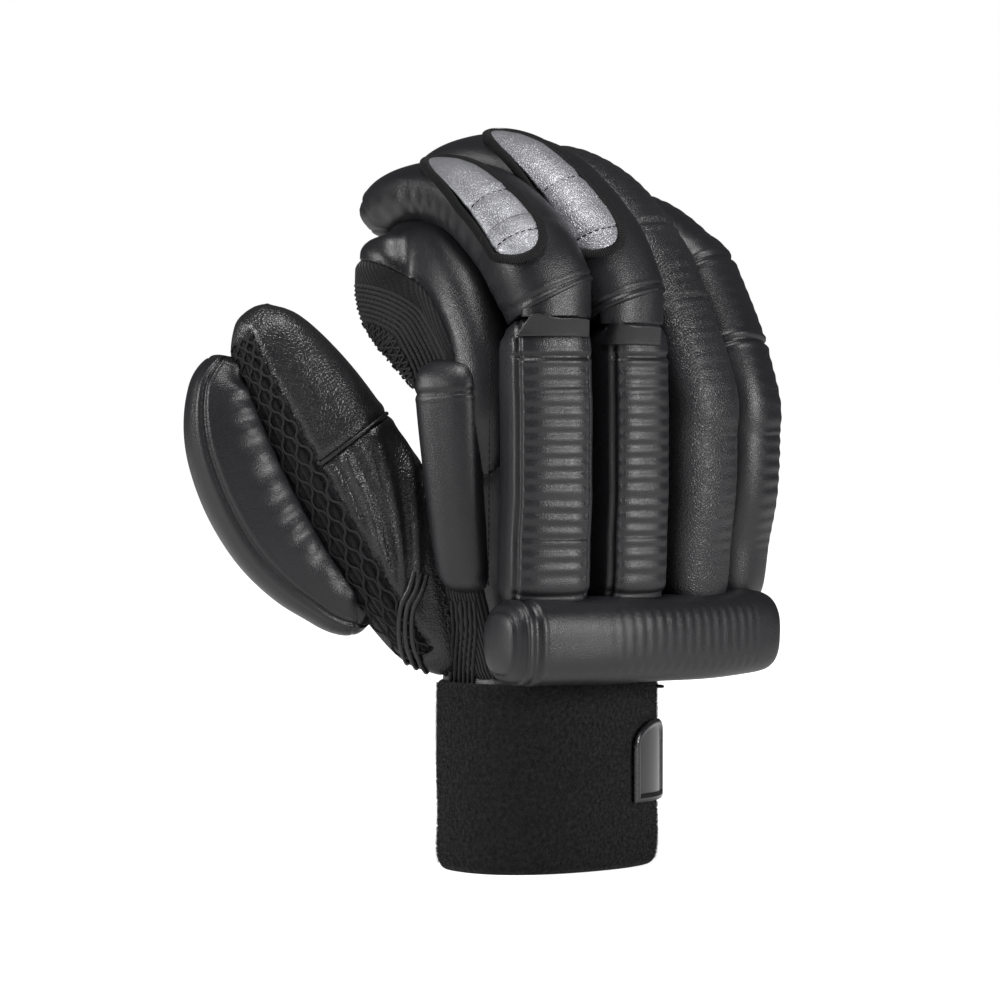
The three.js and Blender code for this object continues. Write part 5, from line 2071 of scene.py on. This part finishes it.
# %% Fleece pile
def pile_tree():
    group, start, stop = new_tree(
        "fleece_pile",
        ("Fibres per m2", "Float"),
        ("Length", "Float"),
        ("Seed", "Int"),
        ("Material", "Material"),
    )
    spots = node(
        group,
        "GeometryNodeDistributePointsOnFaces",
        [
            (start.outputs["Geometry"], "Mesh"),
            (start.outputs["Fibres per m2"], "Density"),
            (start.outputs["Seed"], "Seed"),
        ],
    )
    fibre = node(group, "GeometryNodeMeshCone")
    fibre.inputs["Vertices"].default_value = 3
    fibre.inputs["Radius Top"].default_value = 0.0
    fibre.inputs["Radius Bottom"].default_value = 0.00011
    fibre.inputs["Depth"].default_value = 0.001
    lean = node(group, "FunctionNodeRandomValue", [(start.outputs["Seed"], "Seed")], data_type="FLOAT_VECTOR")
    lean.inputs[0].default_value = (-0.9, -0.9, -0.9)
    lean.inputs[1].default_value = (0.9, 0.9, 0.9)
    tilted = node(group, "FunctionNodeEulerToRotation", [(lean.outputs[0], 0)])
    turned = node(
        group,
        "FunctionNodeRotateRotation",
        [(spots.outputs["Rotation"], 0), (tilted.outputs[0], 1)],
        rotation_space="LOCAL",
    )
    tall = node(group, "ShaderNodeMath", [(start.outputs["Length"], 0)], operation="MULTIPLY", in_1=1000.0)
    size = node(group, "ShaderNodeCombineXYZ", [(tall.outputs[0], 2)])
    size.inputs[0].default_value = 1.0
    size.inputs[1].default_value = 1.0
    sown = node(
        group,
        "GeometryNodeInstanceOnPoints",
        [
            (spots.outputs["Points"], "Points"),
            (fibre.outputs["Mesh"], "Instance"),
            (turned.outputs[0], "Rotation"),
            (size.outputs[0], "Scale"),
        ],
    )
    end_tree(group, start, stop, sown.outputs[0])
    return group


PILE = pile_tree()
outer_face = as_mesh("cuff_face", verts, quads[: around * 44])
hairs = {
    "Fibres per m2": 1.7e6,
    "Length": 0.0011,
    "Seed": 7,
    "Material": fleece_cloth,
}
piece("cuff_pile", grown_on(outer_face, PILE, hairs), fleece_cloth)

# %% [markdown]
# ## Badge
# The badge is a glossy moulded plate with an arched top, plain inside a raised rim. It bends with
# the cuff, so its points are placed by their way round the cuff's face.

# %% Badge
sweep = outline(3000, CUFF["square"], CUFF["width"] / CUFF["depth"])
cuff_line = np.stack([sweep[0] * CUFF["width"] / 2, -sweep[1] * CUFF["depth"] / 2, 0 * sweep[0]], -1)


def on_cuff(turn, aside, height, lift):
    """A place on the cuff's face, mm aside of a direction and mm up, and its normal."""
    side = side_of(np.array(-float(turn)))
    out = np.cross(side, [0, 0, 1.0])
    faced = cuff_line[cuff_line @ out > 0]
    faced = faced[np.argsort(faced @ side)]
    place = np.stack([np.interp(aside, faced @ side, faced[:, k]) for k in range(2)] + [height], -1)
    ahead = np.stack([np.interp(aside + 0.5, faced @ side, faced[:, k]) for k in range(2)] + [height], -1)
    normal = unit(np.cross(ahead - place, [0, 0, 1.0]))
    return place + normal * lift[..., None], normal


half = BADGE["wide"] / 2
spring = BADGE["high"] / 2 - BADGE["shoulder"]
u, v = grid_of(np.linspace(-1, 1, 70), np.linspace(0, 1, 70))
aside = u * half
arch_top = spring + BADGE["arch"] * np.sqrt(np.clip(1 - (aside / half) ** 2, 0, 1))
height = -BADGE["high"] / 2 + (arch_top + BADGE["high"] / 2) * v
tris = grid_tris(70, 70)
to_edge = away_from_rim(np.stack([aside, height, 0 * aside], -1), rim_of(tris))
lift = GAP + BADGE["thick"] - 0.5 * (1 - step_up(to_edge, 0, 0.9))
lift = lift - BADGE["relief"] * step_up(to_edge, BADGE["rim"] - 0.3, BADGE["rim"] + 0.5)
points, normals = on_cuff(BADGE["turn"], aside, BADGE["up"] + height, lift)
slab("badge", points, normals, tris, BADGE["thick"] - 0.4, rubber, "badge")

# %% [markdown]
# ## Loop
# A small loop of tape stands at the cuff's top edge, on the side of the little finger. It can help
# to pull the glove on.

# %% Loop
LOOP_HALF, LOOP_RISE = 2.2, 1.0
low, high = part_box("cuff_loop")
middle = (np.array(low) + np.array(high)) / 2
loop_centre = (middle - FOOT) * 1000
loop_out = unit(loop_centre * [1, 1, 0])
loop_side = np.cross([0, 0, 1.0], loop_out)
turn = np.linspace(-0.35 * np.pi, 1.35 * np.pi, 22)
loop = (
    loop_centre
    + loop_side * (LOOP_HALF * np.cos(turn))[:, None]
    + loop_out * (LOOP_RISE * np.sin(turn))[:, None]
)
threads("cuff_loop", [loop], 0.55, tape, "cuff_loop")

# %% [markdown]
# ## Welt over the thumb
# The seam over the thumb has a welt, a thin round strip let in between two panels. It runs along
# the cap's seam path, and only where that lies in the plane of the welt.

# %% Welt over the thumb
WELT_REACH = 1.6  # mm from the plane
welt = []
for loop in seam_paths["thumb_cap"][:2]:
    away = np.abs((loop - cap_place) @ cap_normal)
    for part in stretches(away < WELT_REACH):
        if len(part) > 8 and away[part[len(part) // 2]] < WELT_REACH:
            smoothed = loop[part].copy()
            for _ in range(6):
                smoothed[1:-1] = (smoothed[:-2] + smoothed[1:-1] * 2 + smoothed[2:]) / 4
            welt.append(smoothed)
threads("thumb_welt", welt, 0.75, smooth_leather)
print("welt pieces:", [len(w) for w in welt])
